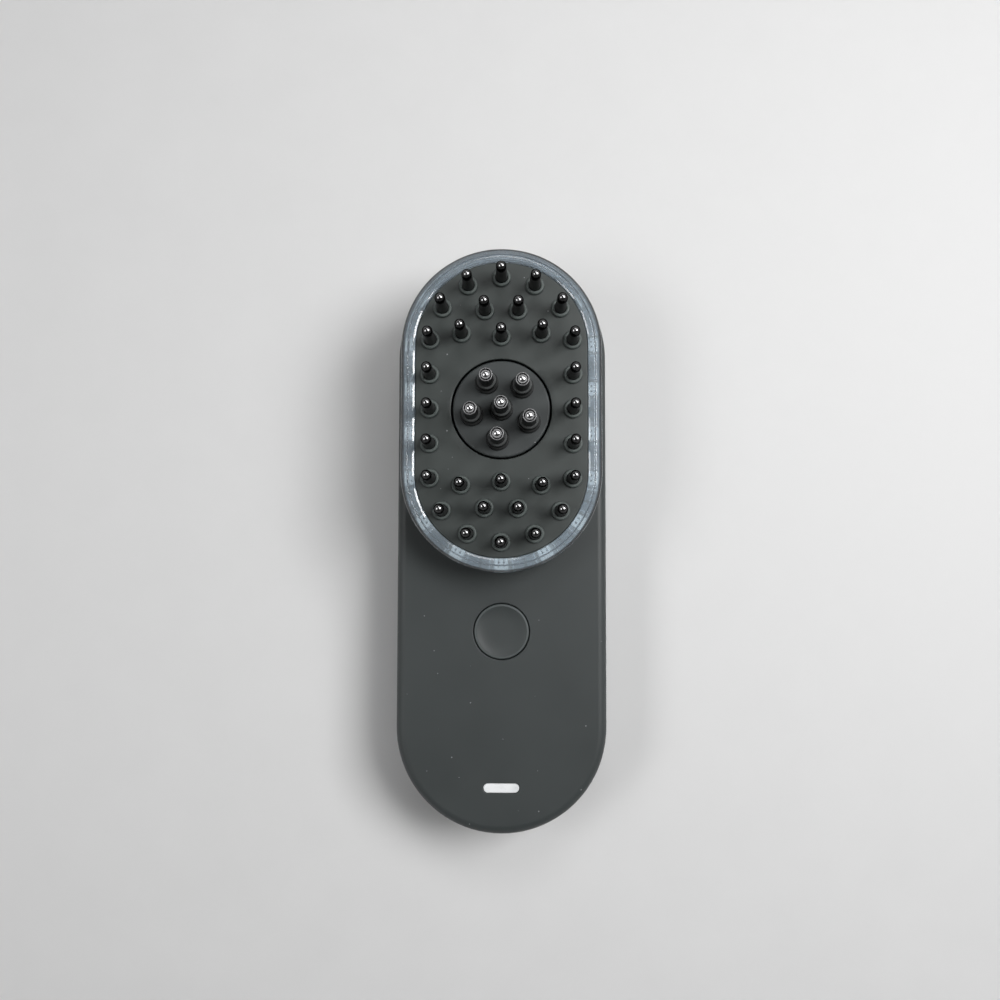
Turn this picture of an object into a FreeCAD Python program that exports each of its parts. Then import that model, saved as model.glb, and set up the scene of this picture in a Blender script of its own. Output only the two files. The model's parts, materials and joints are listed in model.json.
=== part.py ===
import FreeCAD, Part

import math
import os
import re

import Sketcher
from FreeCAD import Placement, Rotation, Vector

# Electric massage brush lying on its flat back: +Z out of the massage face, +Y towards the head.
# Driving dimensions, in millimetres and degrees
SIZES = {
    "body_width": 52.0,
    "body_length": 144.0,
    "wall": 2.0,
    "rear_edge_radius": 5.0,
    "face_edge_radius": 2.2,
    "hole_edge_round": 0.2,
    "seam_rise": 0.8,
    "seal_width": 0.8,
    "seal_depth": 0.8,
    "fit_gap": 0.05,
    "part_gap": 0.3,
    "boss_radius": 3.0,
    "boss_wall_gap": 2.0,
    "case_screw_radius": 1.0,
    "case_head_radius": 2.0,
    "case_head_height": 1.5,
    "case_screw_bite": 3.5,
    "case_screw_pull": 4.5,
    "case_screw_drop": 8.9,
    "plug_thickness": 1.1,
    "plug_recess": 0.2,
    "battery_clear": 3.0,
    "battery_inset": 25.0,
    "battery_height": 6.0,
    "battery_gap": 9.0,
    "battery_edge_radius": 1.2,
    "pad_thickness": 0.6,
    "pad_margin": 3.0,
    "lead_room": 3.4,
    "lead_radius": 0.55,
    "lead_spacing": 2.1,
    "lead_bend": 1.4,
    "board_clear": 4.0,
    "board_inset": 6.0,
    "board_lead_gap": 2.1,
    "board_thickness": 1.2,
    "board_screw_inset": 2.6,
    "board_screw_high": 6.0,
    "board_screw_bite": 4.0,
    "board_boss_radius": 2.25,
    "small_screw_radius": 0.9,
    "small_head_radius": 1.7,
    "small_head_height": 1.3,
    "controller_side": 5.0,
    "controller_height": 0.9,
    "controller_share": 0.5417,
    "charger_side": 3.0,
    "charger_height": 0.8,
    "charger_share": 0.2386,
    "socket_width": 8.94,
    "socket_height": 3.16,
    "socket_depth": 7.35,
    "socket_shell": 0.3,
    "socket_mouth_depth": 6.2,
    "socket_setback": 0.7,
    "socket_slot_gap": 0.15,
    "tongue_width": 6.7,
    "tongue_height": 0.7,
    "tongue_length": 4.6,
    "switch_room": 6.8,
    "switch_side": 6.0,
    "switch_height": 3.6,
    "switch_well": 1.8,
    "plunger_radius": 1.75,
    "plunger_engage": 0.9,
    "plunger_fit": 0.1,
    "button_radius": 6.8,
    "button_gap": 0.2,
    "button_drop": 14.7,
    "button_flange": 1.2,
    "button_flange_height": 1.2,
    "button_flange_gap": 0.4,
    "button_dish_radius": 5.9,
    "button_dish_depth": 0.5,
    "button_stem_length": 4.0,
    "lens_length": 8.8,
    "lens_width": 2.26,
    "lens_inset": 11.4,
    "lens_flange": 1.0,
    "lens_flange_height": 1.5,
    "status_light_length": 3.2,
    "status_light_width": 1.6,
    "status_light_height": 0.8,
    "motor_radius": 5.0,
    "motor_length": 20.0,
    "motor_gap": 11.4,
    "motor_edge_radius": 0.8,
    "sleeve_thickness": 1.5,
    "sleeve_length": 14.0,
    "shaft_radius": 0.75,
    "shaft_reach": 9.0,
    "shaft_seat": 8.0,
    "weight_radius": 4.5,
    "weight_length": 6.0,
    "weight_gap": 2.0,
    "weight_hub_radius": 1.8,
    "clamp_thickness": 1.0,
    "clamp_width": 8.0,
    "clamp_foot": 6.0,
    "clamp_boss_height": 5.0,
    "clamp_boss_radius": 2.5,
    "clamp_screw_bite": 3.0,
    "head_inset": 2.0,
    "head_length": 77.7,
    "head_height": 8.0,
    "head_floor": 2.0,
    "head_wall": 1.4,
    "head_ledge": 1.8,
    "head_ledge_depth": 2.5,
    "head_screw_inset": 8.0,
    "head_screw_reach": 5.4,
    "head_screw_bite": 3.0,
    "lead_slot_length": 6.0,
    "lead_slot_width": 3.0,
    "lead_slot_inset": 4.3,
    "light_board_thickness": 1.0,
    "light_board_width": 4.0,
    "light_width": 1.2,
    "light_length": 3.2,
    "light_height": 0.8,
    "light_inset": 1.1,
    "light_count": 18,
    "ring_width": 3.4,
    "ring_height": 4.5,
    "ring_outer_round": 1.5,
    "ring_inner_round": 0.7,
    "carrier_thickness": 2.0,
    "carrier_screw_share": 0.5417,
    "carrier_screw_y": 12.0,
    "carrier_screw_bite": 4.0,
    "carrier_boss_radius": 2.3,
    "panel_thickness": 2.0,
    "collar_radius": 2.25,
    "collar_height": 0.95,
    "collar_round": 0.6,
    "stem_root_depth": 1.6,
    "stem_root_radius": 1.5,
    "stem_top_radius": 1.22,
    "pin_height": 11.0,
    "tip_length": 2.5,
    "tip_radius": 1.24,
    "tip_round": 1.15,
    "pin_row_share": 0.8297,
    "pin_row_pull": 0.3,
    "pin_row_count": 20,
    "inner_middle_rise": 0.5475,
    "inner_side_share": 0.5572,
    "inner_side_rise": 0.5728,
    "inner_far_share": 0.2317,
    "inner_far_rise": 0.7468,
    "disc_share": 0.4833,
    "disc_gap": 0.4,
    "disc_edge_round": 0.4,
    "well_wall": 1.5,
    "well_floor": 1.4,
    "well_flange": 1.5,
    "well_flange_height": 1.2,
    "bottle_height": 12.3,
    "bottle_wall": 1.6,
    "bottle_floor": 1.6,
    "ring_seal_radius": 0.6,
    "ring_seal_rise": 3.0,
    "cap_thickness": 2.6,
    "cap_seal_thickness": 0.4,
    "cap_spigot_height": 2.0,
    "cap_spigot_wall": 1.2,
    "ball_radius": 1.3,
    "ball_play": 0.05,
    "ball_rise": 10.3,
    "ball_share": 0.6207,
    "ball_clock": 47.0,
    "outer_ball_count": 5,
    "outlet_radius": 0.7,
    "outlet_wall": 0.35,
    "post_flange_radius": 2.8,
    "post_flange_height": 0.9,
    "post_radius": 2.3,
    "post_shoulder": 4.2,
    "neck_radius": 1.95,
    "neck_step": 0.35,
    "rim_wall": 0.22,
    "rim_rise": 0.65,
    "rim_lip": 0.15,
}

# Places and sizes that follow from the driving dimensions
PLACES = {
    "body_radius": "body_width / 2",
    "body_run": "(body_length - body_width) / 2",
    "handle_end": "-body_length / 2",
    "head_radius": "body_radius - head_inset",
    "head_run": "head_length / 2 - head_radius",
    "head_middle": "body_length / 2 - head_inset - head_length / 2",
    "head_low": "head_middle - head_length / 2",
    "lead_slot_place": "head_low + lead_slot_inset",
    "case_screw_x": "body_radius - wall - boss_radius - boss_wall_gap",
    "battery_width": "2 * (case_screw_x - boss_radius - battery_clear)",
    "board_width": "2 * (case_screw_x - boss_radius - board_clear)",
    "motor_start": "lead_slot_place + motor_gap",
    "battery_end": "motor_start - battery_gap",
    "battery_length": "battery_end - handle_end - battery_inset",
    "battery_middle": "battery_end - battery_length / 2",
    "board_start": "handle_end + board_inset",
    "board_end": "lead_slot_place - board_lead_gap",
    "button_place": "head_low - button_drop",
    "lens_place": "handle_end + lens_inset",
    "battery_bottom": "wall + pad_thickness",
    "battery_top": "battery_bottom + battery_height",
    "board_bottom": "battery_top + lead_room",
    "board_top": "board_bottom + board_thickness",
    "lead_level": "board_bottom - lead_bend",
    "seam": "board_top + seam_rise",
    "face_inside": "board_top + switch_room",
    "face": "face_inside + wall",
    "case_screw_y": "body_run - case_screw_pull",
    "screw_seat": "2 * plug_recess + plug_thickness + case_head_height",
    "chip_start": "lens_place + status_light_width / 2",
    "chip_room": "button_place - switch_side / 2 - chip_start - controller_side - charger_side",
    "charger_place": "chip_start + charger_side / 2 + chip_room * charger_share",
    "controller_place": "chip_start + charger_side + controller_side / 2 + chip_room * controller_share",
    "board_screw_x": "board_width / 2 - board_screw_inset",
    "board_screw_first": "lens_place + lens_width / 2 + lens_flange + board_boss_radius + part_gap",
    "board_screw_last": "board_end - board_screw_high",
    "socket_front": "handle_end + wall + socket_setback",
    "socket_middle": "board_bottom - socket_height / 2",
    "switch_top": "board_top + switch_height",
    "button_bottom": "face - button_stem_length",
    "motor_axis": "wall + motor_radius + sleeve_thickness",
    "motor_end": "motor_start + motor_length",
    "motor_middle": "motor_start + motor_length / 2",
    "sleeve_radius": "motor_radius + sleeve_thickness",
    "clamp_radius": "sleeve_radius + clamp_thickness",
    "clamp_screw_x": "clamp_radius + clamp_foot / 2",
    "clamp_level": "wall + clamp_boss_height",
    "head_base": "face + head_floor",
    "head_rim": "face + head_height",
    "head_inner": "head_radius - head_wall",
    "light_level": "head_rim - head_ledge_depth",
    "light_top": "light_level + light_board_thickness",
    "light_row": "head_inner - light_inset",
    "light_board_outer": "head_inner - fit_gap",
    "head_screw_x": "head_radius - head_screw_inset",
    "carrier_screw_x": "head_radius * carrier_screw_share",
    "head_screw_y": "head_run + head_screw_reach",
    "case_screw_middle": "head_middle - head_screw_y - case_screw_drop",
    "panel_radius": "head_radius - ring_width - fit_gap",
    "carrier_top": "head_rim + carrier_thickness",
    "panel_top": "carrier_top + panel_thickness",
    "stem_bottom": "carrier_top - stem_root_depth",
    "stem_length": "panel_thickness + stem_root_depth + pin_height - tip_length",
    "pin_row_radius": "panel_radius * pin_row_share",
    "pin_row_run": "head_run - pin_row_pull",
    "pin_row_top": "pin_row_run + pin_row_radius",
    "inner_middle_y": "pin_row_top * inner_middle_rise",
    "inner_side_y": "pin_row_top * inner_side_rise",
    "inner_far_y": "pin_row_top * inner_far_rise",
    "inner_side_x": "pin_row_radius * inner_side_share",
    "inner_far_x": "pin_row_radius * inner_far_share",
    "disc_radius": "head_radius * disc_share",
    "ball_circle": "disc_radius * ball_share",
    "well_radius": "disc_radius + disc_gap",
    "well_outer": "well_radius + well_wall",
    "cap_bottom": "panel_top - cap_thickness",
    "bottle_top": "cap_bottom - cap_seal_thickness",
    "bottle_bottom": "bottle_top - bottle_height",
    "well_base": "bottle_bottom - part_gap",
    "bottle_inner": "disc_radius - bottle_wall",
    "spigot_radius": "bottle_inner - fit_gap",
    "ring_seal_level": "bottle_bottom + ring_seal_rise",
    "ring_seal_path": "well_radius - fit_gap - ring_seal_radius",
    "outlet_outer": "outlet_radius + outlet_wall",
    "chamber_radius": "ball_radius + ball_play",
    "rim_radius": "chamber_radius + rim_wall",
}

doc = FreeCAD.newDocument("massage_brush")
nodes = []


def bound(text):
    """Give the expression with each named size led by the sheet that holds it."""
    def lead(match):
        word = match.group(0)
        if word in SIZES:
            return "Sizes." + word
        if word in PLACES:
            return "Places." + word
        return word
    return re.sub(r"[a-z][a-z_]*", lead, text)


def fill_sheet(name, cells):
    """Make a sheet with one named cell to a row."""
    sheet = doc.addObject("Spreadsheet::Sheet", name)
    for row, (alias, content) in enumerate(cells.items(), start=1):
        sheet.set(f"A{row}", alias)
        sheet.setAlias(f"B{row}", alias)
        sheet.set(f"B{row}", content)
    doc.recompute()
    return sheet


sizes = fill_sheet("Sizes", {alias: str(value) for alias, value in SIZES.items()})
places = fill_sheet("Places", {alias: "=" + bound(text) for alias, text in PLACES.items()})


def number(text):
    """Work an expression out now, for first guesses and for shapes set in code."""
    value = sizes.evalExpression(bound(text))
    return float(getattr(value, "Value", value))


def new_body(label, is_node=True):
    """Start a body. One that is only a form for copies is no node."""
    body = doc.addObject("PartDesign::Body", label)
    body.Label = label
    if is_node:
        nodes.append(body)
    return body


def new_sketch(body, plane="XY_Plane", at=("0", "0", "0"), turn=0):
    """Attach a sketch to one of the body's own planes, moved by three expressions."""
    sketch = body.newObject("Sketcher::SketchObject", body.Name + "_sketch")
    support = [item for item in body.Origin.OriginFeatures if item.Role == plane]
    sketch.AttachmentSupport = [(support[0], "")]
    sketch.MapMode = "FlatFace"
    sketch.AttachmentOffset = Placement(Vector(), Rotation(Vector(0, 0, 1), turn))
    for axis, text in zip("xyz", at):
        sketch.setExpression("AttachmentOffset.Base." + axis, bound(text))
    return sketch


def measure(sketch, kind, *where, size):
    """Add a measured constraint that is tied to an expression."""
    index = sketch.addConstraint(Sketcher.Constraint(kind, *where, number(size)))
    sketch.setExpression(f"Constraints[{index}]", bound(size))


def add_stadium(sketch, radius, run):
    """Draw two half circles, run each way from the middle along Y, joined by tangent lines."""
    reach = number(run)
    wide = number(radius)
    upper = Part.Circle(Vector(0, reach, 0), Vector(0, 0, 1), wide)
    lower = Part.Circle(Vector(0, -reach, 0), Vector(0, 0, 1), wide)
    first = sketch.addGeometry(Part.ArcOfCircle(upper, 0, math.pi), False)
    left = sketch.addGeometry(Part.LineSegment(Vector(-wide, reach, 0), Vector(-wide, -reach, 0)), False)
    second = sketch.addGeometry(Part.ArcOfCircle(lower, math.pi, 2 * math.pi), False)
    right = sketch.addGeometry(Part.LineSegment(Vector(wide, -reach, 0), Vector(wide, reach, 0)), False)
    loop = [first, left, second, right]
    for one, other in zip(loop, loop[1:] + loop[:1]):
        sketch.addConstraint(Sketcher.Constraint("Tangent", one, 2, other, 1))
    sketch.addConstraint(Sketcher.Constraint("Equal", first, second))
    sketch.addConstraint(Sketcher.Constraint("PointOnObject", first, 3, -2))
    sketch.addConstraint(Sketcher.Constraint("PointOnObject", second, 3, -2))
    measure(sketch, "DistanceY", -1, 1, first, 3, size=run)
    measure(sketch, "DistanceY", second, 3, -1, 1, size=run)
    measure(sketch, "Radius", first, size=radius)


def add_circle(sketch, x, y, radius):
    """Draw a circle at a measured place."""
    circle = Part.Circle(Vector(number(x), number(y), 0), Vector(0, 0, 1), number(radius))
    index = sketch.addGeometry(circle, False)
    measure(sketch, "DistanceX", -1, 1, index, 3, size=x)
    measure(sketch, "DistanceY", -1, 1, index, 3, size=y)
    measure(sketch, "Radius", index, size=radius)


def add_rectangle(sketch, width, length):
    """Draw a rectangle about the sketch's own origin."""
    x = number(width) / 2
    y = number(length) / 2
    corners = [Vector(-x, -y, 0), Vector(x, -y, 0), Vector(x, y, 0), Vector(-x, y, 0)]
    sides = []
    for one, other in zip(corners, corners[1:] + corners[:1]):
        sides.append(sketch.addGeometry(Part.LineSegment(one, other), False))
    for one, other in zip(sides, sides[1:] + sides[:1]):
        sketch.addConstraint(Sketcher.Constraint("Coincident", one, 2, other, 1))
    for index, side in enumerate(sides):
        sketch.addConstraint(Sketcher.Constraint("Vertical" if index % 2 else "Horizontal", side))
    sketch.addConstraint(Sketcher.Constraint("Symmetric", sides[0], 1, sides[2], 1, -1, 1))
    measure(sketch, "DistanceX", sides[0], 1, sides[0], 2, size=width)
    measure(sketch, "DistanceY", sides[1], 1, sides[1], 2, size=length)


def add_profile(sketch, points):
    """Draw a closed outline whose corners are all measured from the sketch's origin."""
    places_now = [Vector(number(x), number(y), 0) for x, y in points]
    sides = []
    for one, other in zip(places_now, places_now[1:] + places_now[:1]):
        sides.append(sketch.addGeometry(Part.LineSegment(one, other), False))
    for one, other in zip(sides, sides[1:] + sides[:1]):
        sketch.addConstraint(Sketcher.Constraint("Coincident", one, 2, other, 1))
    for side, (x, y) in zip(sides, points):
        measure(sketch, "DistanceX", -1, 1, side, 1, size=x)
        measure(sketch, "DistanceY", -1, 1, side, 1, size=y)


def extrude(body, kind, sketch, length):
    """Add a pad or a pocket of a bound length."""
    feature = body.newObject("PartDesign::" + kind, body.Name + "_" + kind.lower())
    feature.Profile = sketch
    feature.setExpression("Length", bound(length))
    doc.recompute()
    return feature


def pad_stadium(body, radius, run, at, length, turn=0):
    """Pad a stadium up from its level."""
    sketch = new_sketch(body, at=at, turn=turn)
    add_stadium(sketch, radius, run)
    extrude(body, "Pad", sketch, length)


def cut_stadium(body, radius, run, at, depth, turn=0):
    """Cut a stadium down from its level."""
    sketch = new_sketch(body, at=at, turn=turn)
    add_stadium(sketch, radius, run)
    extrude(body, "Pocket", sketch, depth)


def pad_circles(body, spots, radius, at, length):
    """Pad a circle at each spot, up from one level."""
    sketch = new_sketch(body, at=at)
    for x, y in spots:
        add_circle(sketch, x, y, radius)
    extrude(body, "Pad", sketch, length)


def cut_circles(body, spots, radius, at, depth):
    """Cut a circle at each spot, down from one level."""
    sketch = new_sketch(body, at=at)
    for x, y in spots:
        add_circle(sketch, x, y, radius)
    extrude(body, "Pocket", sketch, depth)


def pad_block(body, width, length, at, height):
    """Pad a rectangle up from its level."""
    sketch = new_sketch(body, at=at)
    add_rectangle(sketch, width, length)
    extrude(body, "Pad", sketch, height)


def pad_stadium_ring(body, outer, inner, run, at, length):
    """Pad the band between two stadiums up from its level."""
    sketch = new_sketch(body, at=at)
    add_stadium(sketch, outer, run)
    add_stadium(sketch, inner, run)
    extrude(body, "Pad", sketch, length)


def along_handle(body, kind, radii, level, start, length):
    """Pad rounds back from a place along Y, or cut them forward from it, at one level."""
    sketch = new_sketch(body, plane="XZ_Plane", at=("0", level, f"-({start})"))
    for radius in radii:
        add_circle(sketch, "0", "0", radius)
    extrude(body, kind, sketch, length)


def cut_across(body, width, height, level, start, length):
    """Cut a block forward from a place along Y, centred on one level."""
    sketch = new_sketch(body, plane="XZ_Plane", at=("0", level, f"-({start})"))
    add_rectangle(sketch, width, height)
    extrude(body, "Pocket", sketch, length)


def revolve(body, points, y="0"):
    """Turn an outline of radius and height all the way round an upright axis on the middle plane."""
    sketch = new_sketch(body, plane="XZ_Plane", at=("0", "0", f"-({y})"))
    add_profile(sketch, points)
    feature = body.newObject("PartDesign::Revolution", body.Name + "_turned")
    feature.Profile = sketch
    feature.ReferenceAxis = (sketch, ["V_Axis"])
    feature.Angle = 360
    doc.recompute()


def level_edges(shape, level, axis="Z"):
    """Name the edges that lie flat at one level."""
    names = []
    for index, edge in enumerate(shape.Edges, start=1):
        box = edge.BoundBox
        low = getattr(box, axis + "Min")
        high = getattr(box, axis + "Max")
        if abs(low - level) < 1e-4 and abs(high - level) < 1e-4:
            names.append(f"Edge{index}")
    return names


def round_edges(body, names, radius):
    """Round the named edges of the body's last feature."""
    feature = body.newObject("PartDesign::Fillet", body.Name + "_round")
    feature.Base = (body.Group[-2], names)
    feature.setExpression("Radius", bound(radius))
    doc.recompute()


def round_level(body, level, radius, axis="Z"):
    """Round every edge that lies flat at one level."""
    round_edges(body, level_edges(body.Shape, number(level), axis), radius)


def group(label, shapes):
    """Make one node of several like solids."""
    feature = doc.addObject("Part::Feature", label)
    feature.Label = label
    feature.Shape = Part.makeCompound(shapes)
    feature.Placement = Placement()
    nodes.append(feature)


def copies(form, spots, level, turn=0):
    """Copy a form to each spot at one level, turned about X where it points down."""
    shapes = []
    for x, y in spots:
        shape = form.Shape.copy()
        place = Vector(number(x), number(y), number(level))
        shape.Placement = Placement(place, Rotation(Vector(1, 0, 0), turn))
        shapes.append(shape)
    return shapes


def both_sides(*rows):
    """Mirror each spot to the other side of the middle plane."""
    return [(sign + x, y) for x, y in rows for sign in ("", "-")]


CASE_SCREWS = both_sides(("case_screw_x", "case_screw_y"), ("case_screw_x", "case_screw_middle"),
                         ("case_screw_x", "-case_screw_y"))
BOARD_SCREWS = both_sides(("board_screw_x", "board_screw_first"), ("board_screw_x", "board_screw_last"))
CLAMP_SCREWS = both_sides(("clamp_screw_x", "motor_middle"))
HEAD_SCREWS = both_sides(("head_screw_x", "head_middle + head_screw_y"),
                         ("head_screw_x", "head_middle - head_screw_y"))
CARRIER_SCREWS = both_sides(("carrier_screw_x", "head_middle + carrier_screw_y"),
                            ("carrier_screw_x", "head_middle - carrier_screw_y"))
DISC_PLACE = [("0", "head_middle")]
BALL_ANGLES = [f"ball_clock + {step} * 360 / outer_ball_count" for step in range(SIZES["outer_ball_count"])]
BALL_PLACES = DISC_PLACE + [
    (f"ball_circle * cos({angle})", f"head_middle + ball_circle * sin({angle})") for angle in BALL_ANGLES
]


def stadium_row(radius, run, count, start=0.0):
    """Space places evenly round a stadium with their outward angles, start steps on from its right middle."""
    straight = 2 * run
    half = straight + math.pi * radius
    row = []
    for index in range(count):
        side, rest = divmod(run + 2 * half * (index + start) / count, half)
        if rest < straight:
            angle, x, y = 0.0, radius, rest - run
        else:
            angle = (rest - straight) / radius
            x, y = radius * math.cos(angle), run + radius * math.sin(angle)
        sign = -1 if side % 2 else 1
        row.append((sign * x, sign * y, math.degrees(angle) + 180 * (side % 2)))
    return row


def pin_places():
    """Give the outer row of pins on its stadium and the two inner clusters, at both ends of the head."""
    row = stadium_row(number("pin_row_radius"), number("pin_row_run"), int(number("pin_row_count")))
    spots = [(f"{x:.6f}", f"head_middle + {y:.6f}") for x, y, angle in row]
    for end in ("+", "-"):
        spots.append(("0", f"head_middle {end} inner_middle_y"))
        spots += both_sides(("inner_side_x", f"head_middle {end} inner_side_y"),
                            ("inner_far_x", f"head_middle {end} inner_far_y"))
    return spots


PINS = pin_places()


def screw_form(label, radius, head_radius, head_height, length):
    """A plain screw, head up and shank down from its seat."""
    form = new_body(label + "_form", is_node=False)
    revolve(form, [("0", head_height), (head_radius, head_height), (head_radius, "0"), (radius, "0"),
                   (radius, f"-({length})"), ("0", f"-({length})")])
    return form


def make_rear_cover():
    """The flat-backed lower shell with its screw bosses, seal groove and charging slot."""
    body = new_body("rear_cover")
    pad_stadium(body, "body_radius", "body_run", ("0", "0", "0"), "seam")
    round_level(body, "0", "rear_edge_radius")
    cut_stadium(body, "body_radius - wall", "body_run", ("0", "0", "seam"), "seam - wall")
    round_level(body, "wall", "rear_edge_radius - wall")
    pad_circles(body, CASE_SCREWS, "boss_radius", ("0", "0", "wall"), "seam - wall")
    pad_circles(body, CLAMP_SCREWS, "clamp_boss_radius", ("0", "0", "wall"), "clamp_boss_height")
    cut_circles(body, CLAMP_SCREWS, "small_screw_radius + fit_gap", ("0", "0", "clamp_level"),
                "clamp_screw_bite + part_gap")
    cut_circles(body, CASE_SCREWS, "case_screw_radius + fit_gap", ("0", "0", "seam"), "seam")
    cut_circles(body, CASE_SCREWS, "case_head_radius + part_gap", ("0", "0", "screw_seat"), "screw_seat")
    groove = new_sketch(body, at=("0", "0", "seam"))
    add_stadium(groove, "body_radius - (wall - seal_width) / 2", "body_run")
    add_stadium(groove, "body_radius - (wall + seal_width) / 2", "body_run")
    extrude(body, "Pocket", groove, "seal_depth")
    slot = new_sketch(body, "XZ_Plane", ("0", "socket_middle", "body_length / 2"), turn=90)
    add_stadium(slot, "socket_height / 2 + socket_slot_gap", "(socket_width - socket_height) / 2")
    extrude(body, "Pocket", slot, "wall + socket_setback")


def make_front_cover():
    """The upper shell with holes for button, lens, well and leads, and bosses under its face."""
    body = new_body("front_cover")
    pad_stadium(body, "body_radius", "body_run", ("0", "0", "seam"), "face - seam")
    round_level(body, "face", "face_edge_radius")
    cut_stadium(body, "body_radius - wall", "body_run", ("0", "0", "face_inside"), "face_inside - seam")
    pad_circles(body, CASE_SCREWS, "boss_radius", ("0", "0", "seam"), "face_inside - seam")
    pad_circles(body, BOARD_SCREWS, "board_boss_radius", ("0", "0", "board_top"), "face_inside - board_top")
    cut_circles(body, CASE_SCREWS, "case_screw_radius + fit_gap",
                ("0", "0", "seam + case_screw_bite + part_gap"), "case_screw_bite + part_gap")
    cut_circles(body, BOARD_SCREWS, "small_screw_radius + fit_gap",
                ("0", "0", "board_top + board_screw_bite + part_gap"), "board_screw_bite + part_gap")
    cut_circles(body, [("0", "button_place")], "button_radius + button_gap", ("0", "0", "face"), "wall")
    cut_circles(body, DISC_PLACE, "well_outer + part_gap", ("0", "0", "face"), "wall")
    cut_circles(body, HEAD_SCREWS, "small_screw_radius + fit_gap", ("0", "0", "face"), "wall")
    cut_stadium(body, "lens_width / 2 + fit_gap", "(lens_length - lens_width) / 2",
                ("0", "lens_place", "face"), "wall", turn=90)
    for place in ("button_place", "lens_place"):
        names = []
        for name in level_edges(body.Shape, number("face")):
            middle = body.Shape.getElement(name).BoundBox.Center
            if abs(middle.y - number(place)) < number("lens_width"):
                names.append(name)
        round_edges(body, names, "hole_edge_round")
    cut_stadium(body, "lead_slot_width / 2", "(lead_slot_length - lead_slot_width) / 2",
                ("0", "lead_slot_place", "face"), "wall", turn=90)


def make_case_seal():
    """The soft ring pressed into the rear cover's rim."""
    body = new_body("case_seal")
    pad_stadium_ring(body, "body_radius - (wall - seal_width) / 2 - fit_gap",
                     "body_radius - (wall + seal_width) / 2 + fit_gap", "body_run",
                     ("0", "0", "seam - seal_depth"), "seal_depth")


def make_case_fasteners():
    """Six screws that join the covers from behind, and the soft plugs over their heads."""
    form = screw_form("case_screw", "case_screw_radius", "case_head_radius", "case_head_height",
                      "seam + case_screw_bite - screw_seat")
    group("case_screws", copies(form, CASE_SCREWS, "screw_seat", turn=180))
    plug = new_body("screw_plug_form", is_node=False)
    pad_circles(plug, [("0", "0")], "case_head_radius + part_gap - fit_gap", ("0", "0", "0"),
                "plug_thickness")
    group("screw_plugs", copies(plug, CASE_SCREWS, "plug_recess"))


def make_battery():
    """The flat cell and the foam pad that sticks it to the rear cover."""
    pad = new_body("battery_pad")
    pad_block(pad, "battery_width - pad_margin", "battery_length - pad_margin",
              ("0", "battery_middle", "wall"), "pad_thickness")
    cell = new_body("battery_cell")
    pad_block(cell, "battery_width", "battery_length", ("0", "battery_middle", "battery_bottom"),
              "battery_height")
    round_edges(cell, [f"Edge{index + 1}" for index in range(len(cell.Shape.Edges))], "battery_edge_radius")


def make_board():
    """The main board, its four screws and the parts soldered to it."""
    board = new_body("main_board")
    pad_block(board, "board_width", "board_end - board_start",
              ("0", "(board_start + board_end) / 2", "board_bottom"), "board_thickness")
    cut_circles(board, BOARD_SCREWS, "small_screw_radius + fit_gap", ("0", "0", "board_top"),
                "board_thickness")
    form = screw_form("board_screw", "small_screw_radius", "small_head_radius", "small_head_height",
                      "board_thickness + board_screw_bite")
    group("board_screws", copies(form, BOARD_SCREWS, "board_bottom", turn=180))
    for name in ("controller", "charger"):
        side = name + "_side"
        pad_block(new_body(name + "_chip"), side, side, ("0", name + "_place", "board_top"), name + "_height")
    pad_block(new_body("status_light"), "status_light_length", "status_light_width",
              ("0", "lens_place", "board_top"), "status_light_height")


def make_charging_socket():
    """The metal-shelled charging socket under the board's end, with its tongue."""
    body = new_body("charging_socket")
    run = "(socket_width - socket_height) / 2"
    shell = new_sketch(body, "XZ_Plane", ("0", "socket_middle", "-(socket_front + socket_depth)"), turn=90)
    add_stadium(shell, "socket_height / 2", run)
    extrude(body, "Pad", shell, "socket_depth")
    mouth = new_sketch(body, "XZ_Plane", ("0", "socket_middle", "-socket_front"), turn=90)
    add_stadium(mouth, "socket_height / 2 - socket_shell", run)
    extrude(body, "Pocket", mouth, "socket_mouth_depth")
    tongue = new_sketch(body, "XZ_Plane", ("0", "socket_middle", "-(socket_front + socket_mouth_depth)"))
    add_rectangle(tongue, "tongue_width", "tongue_height")
    extrude(body, "Pad", tongue, "tongue_length")


def make_button():
    """The dished button cap, and the switch under it with its plunger."""
    cap = new_body("power_button")
    flange_top = "face_inside - button_flange_gap"
    flange_bottom = flange_top + " - button_flange_height"
    flange_radius = "button_radius + button_flange"
    revolve(cap, [("0", "button_bottom"), ("button_radius", "button_bottom"),
                  ("button_radius", flange_bottom), (flange_radius, flange_bottom),
                  (flange_radius, flange_top), ("button_radius", flange_top), ("button_radius", "face"),
                  ("button_dish_radius", "face"),
                  ("button_dish_radius * 2 / 3", "face - button_dish_depth * 5 / 9"),
                  ("button_dish_radius / 3", "face - button_dish_depth * 8 / 9"),
                  ("0", "face - button_dish_depth")], y="button_place")
    switch = new_body("switch_body")
    pad_block(switch, "switch_side", "switch_side", ("0", "button_place", "board_top"), "switch_height")
    cut_circles(switch, [("0", "button_place")], "plunger_radius + plunger_fit", ("0", "0", "switch_top"),
                "switch_well")
    plunger = new_body("switch_plunger")
    pad_circles(plunger, [("0", "button_place")], "plunger_radius",
                ("0", "0", "switch_top - plunger_engage"), "button_bottom - switch_top + plunger_engage")


def make_status_lens():
    """The pill-shaped light pipe, flush with the face and flanged below it."""
    body = new_body("status_lens")
    run = "(lens_length - lens_width) / 2"
    pad_stadium(body, "lens_width / 2 + lens_flange", run,
                ("0", "lens_place", "face_inside - lens_flange_height"), "lens_flange_height", turn=90)
    pad_stadium(body, "lens_width / 2", run, ("0", "lens_place", "face_inside"), "wall", turn=90)


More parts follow.
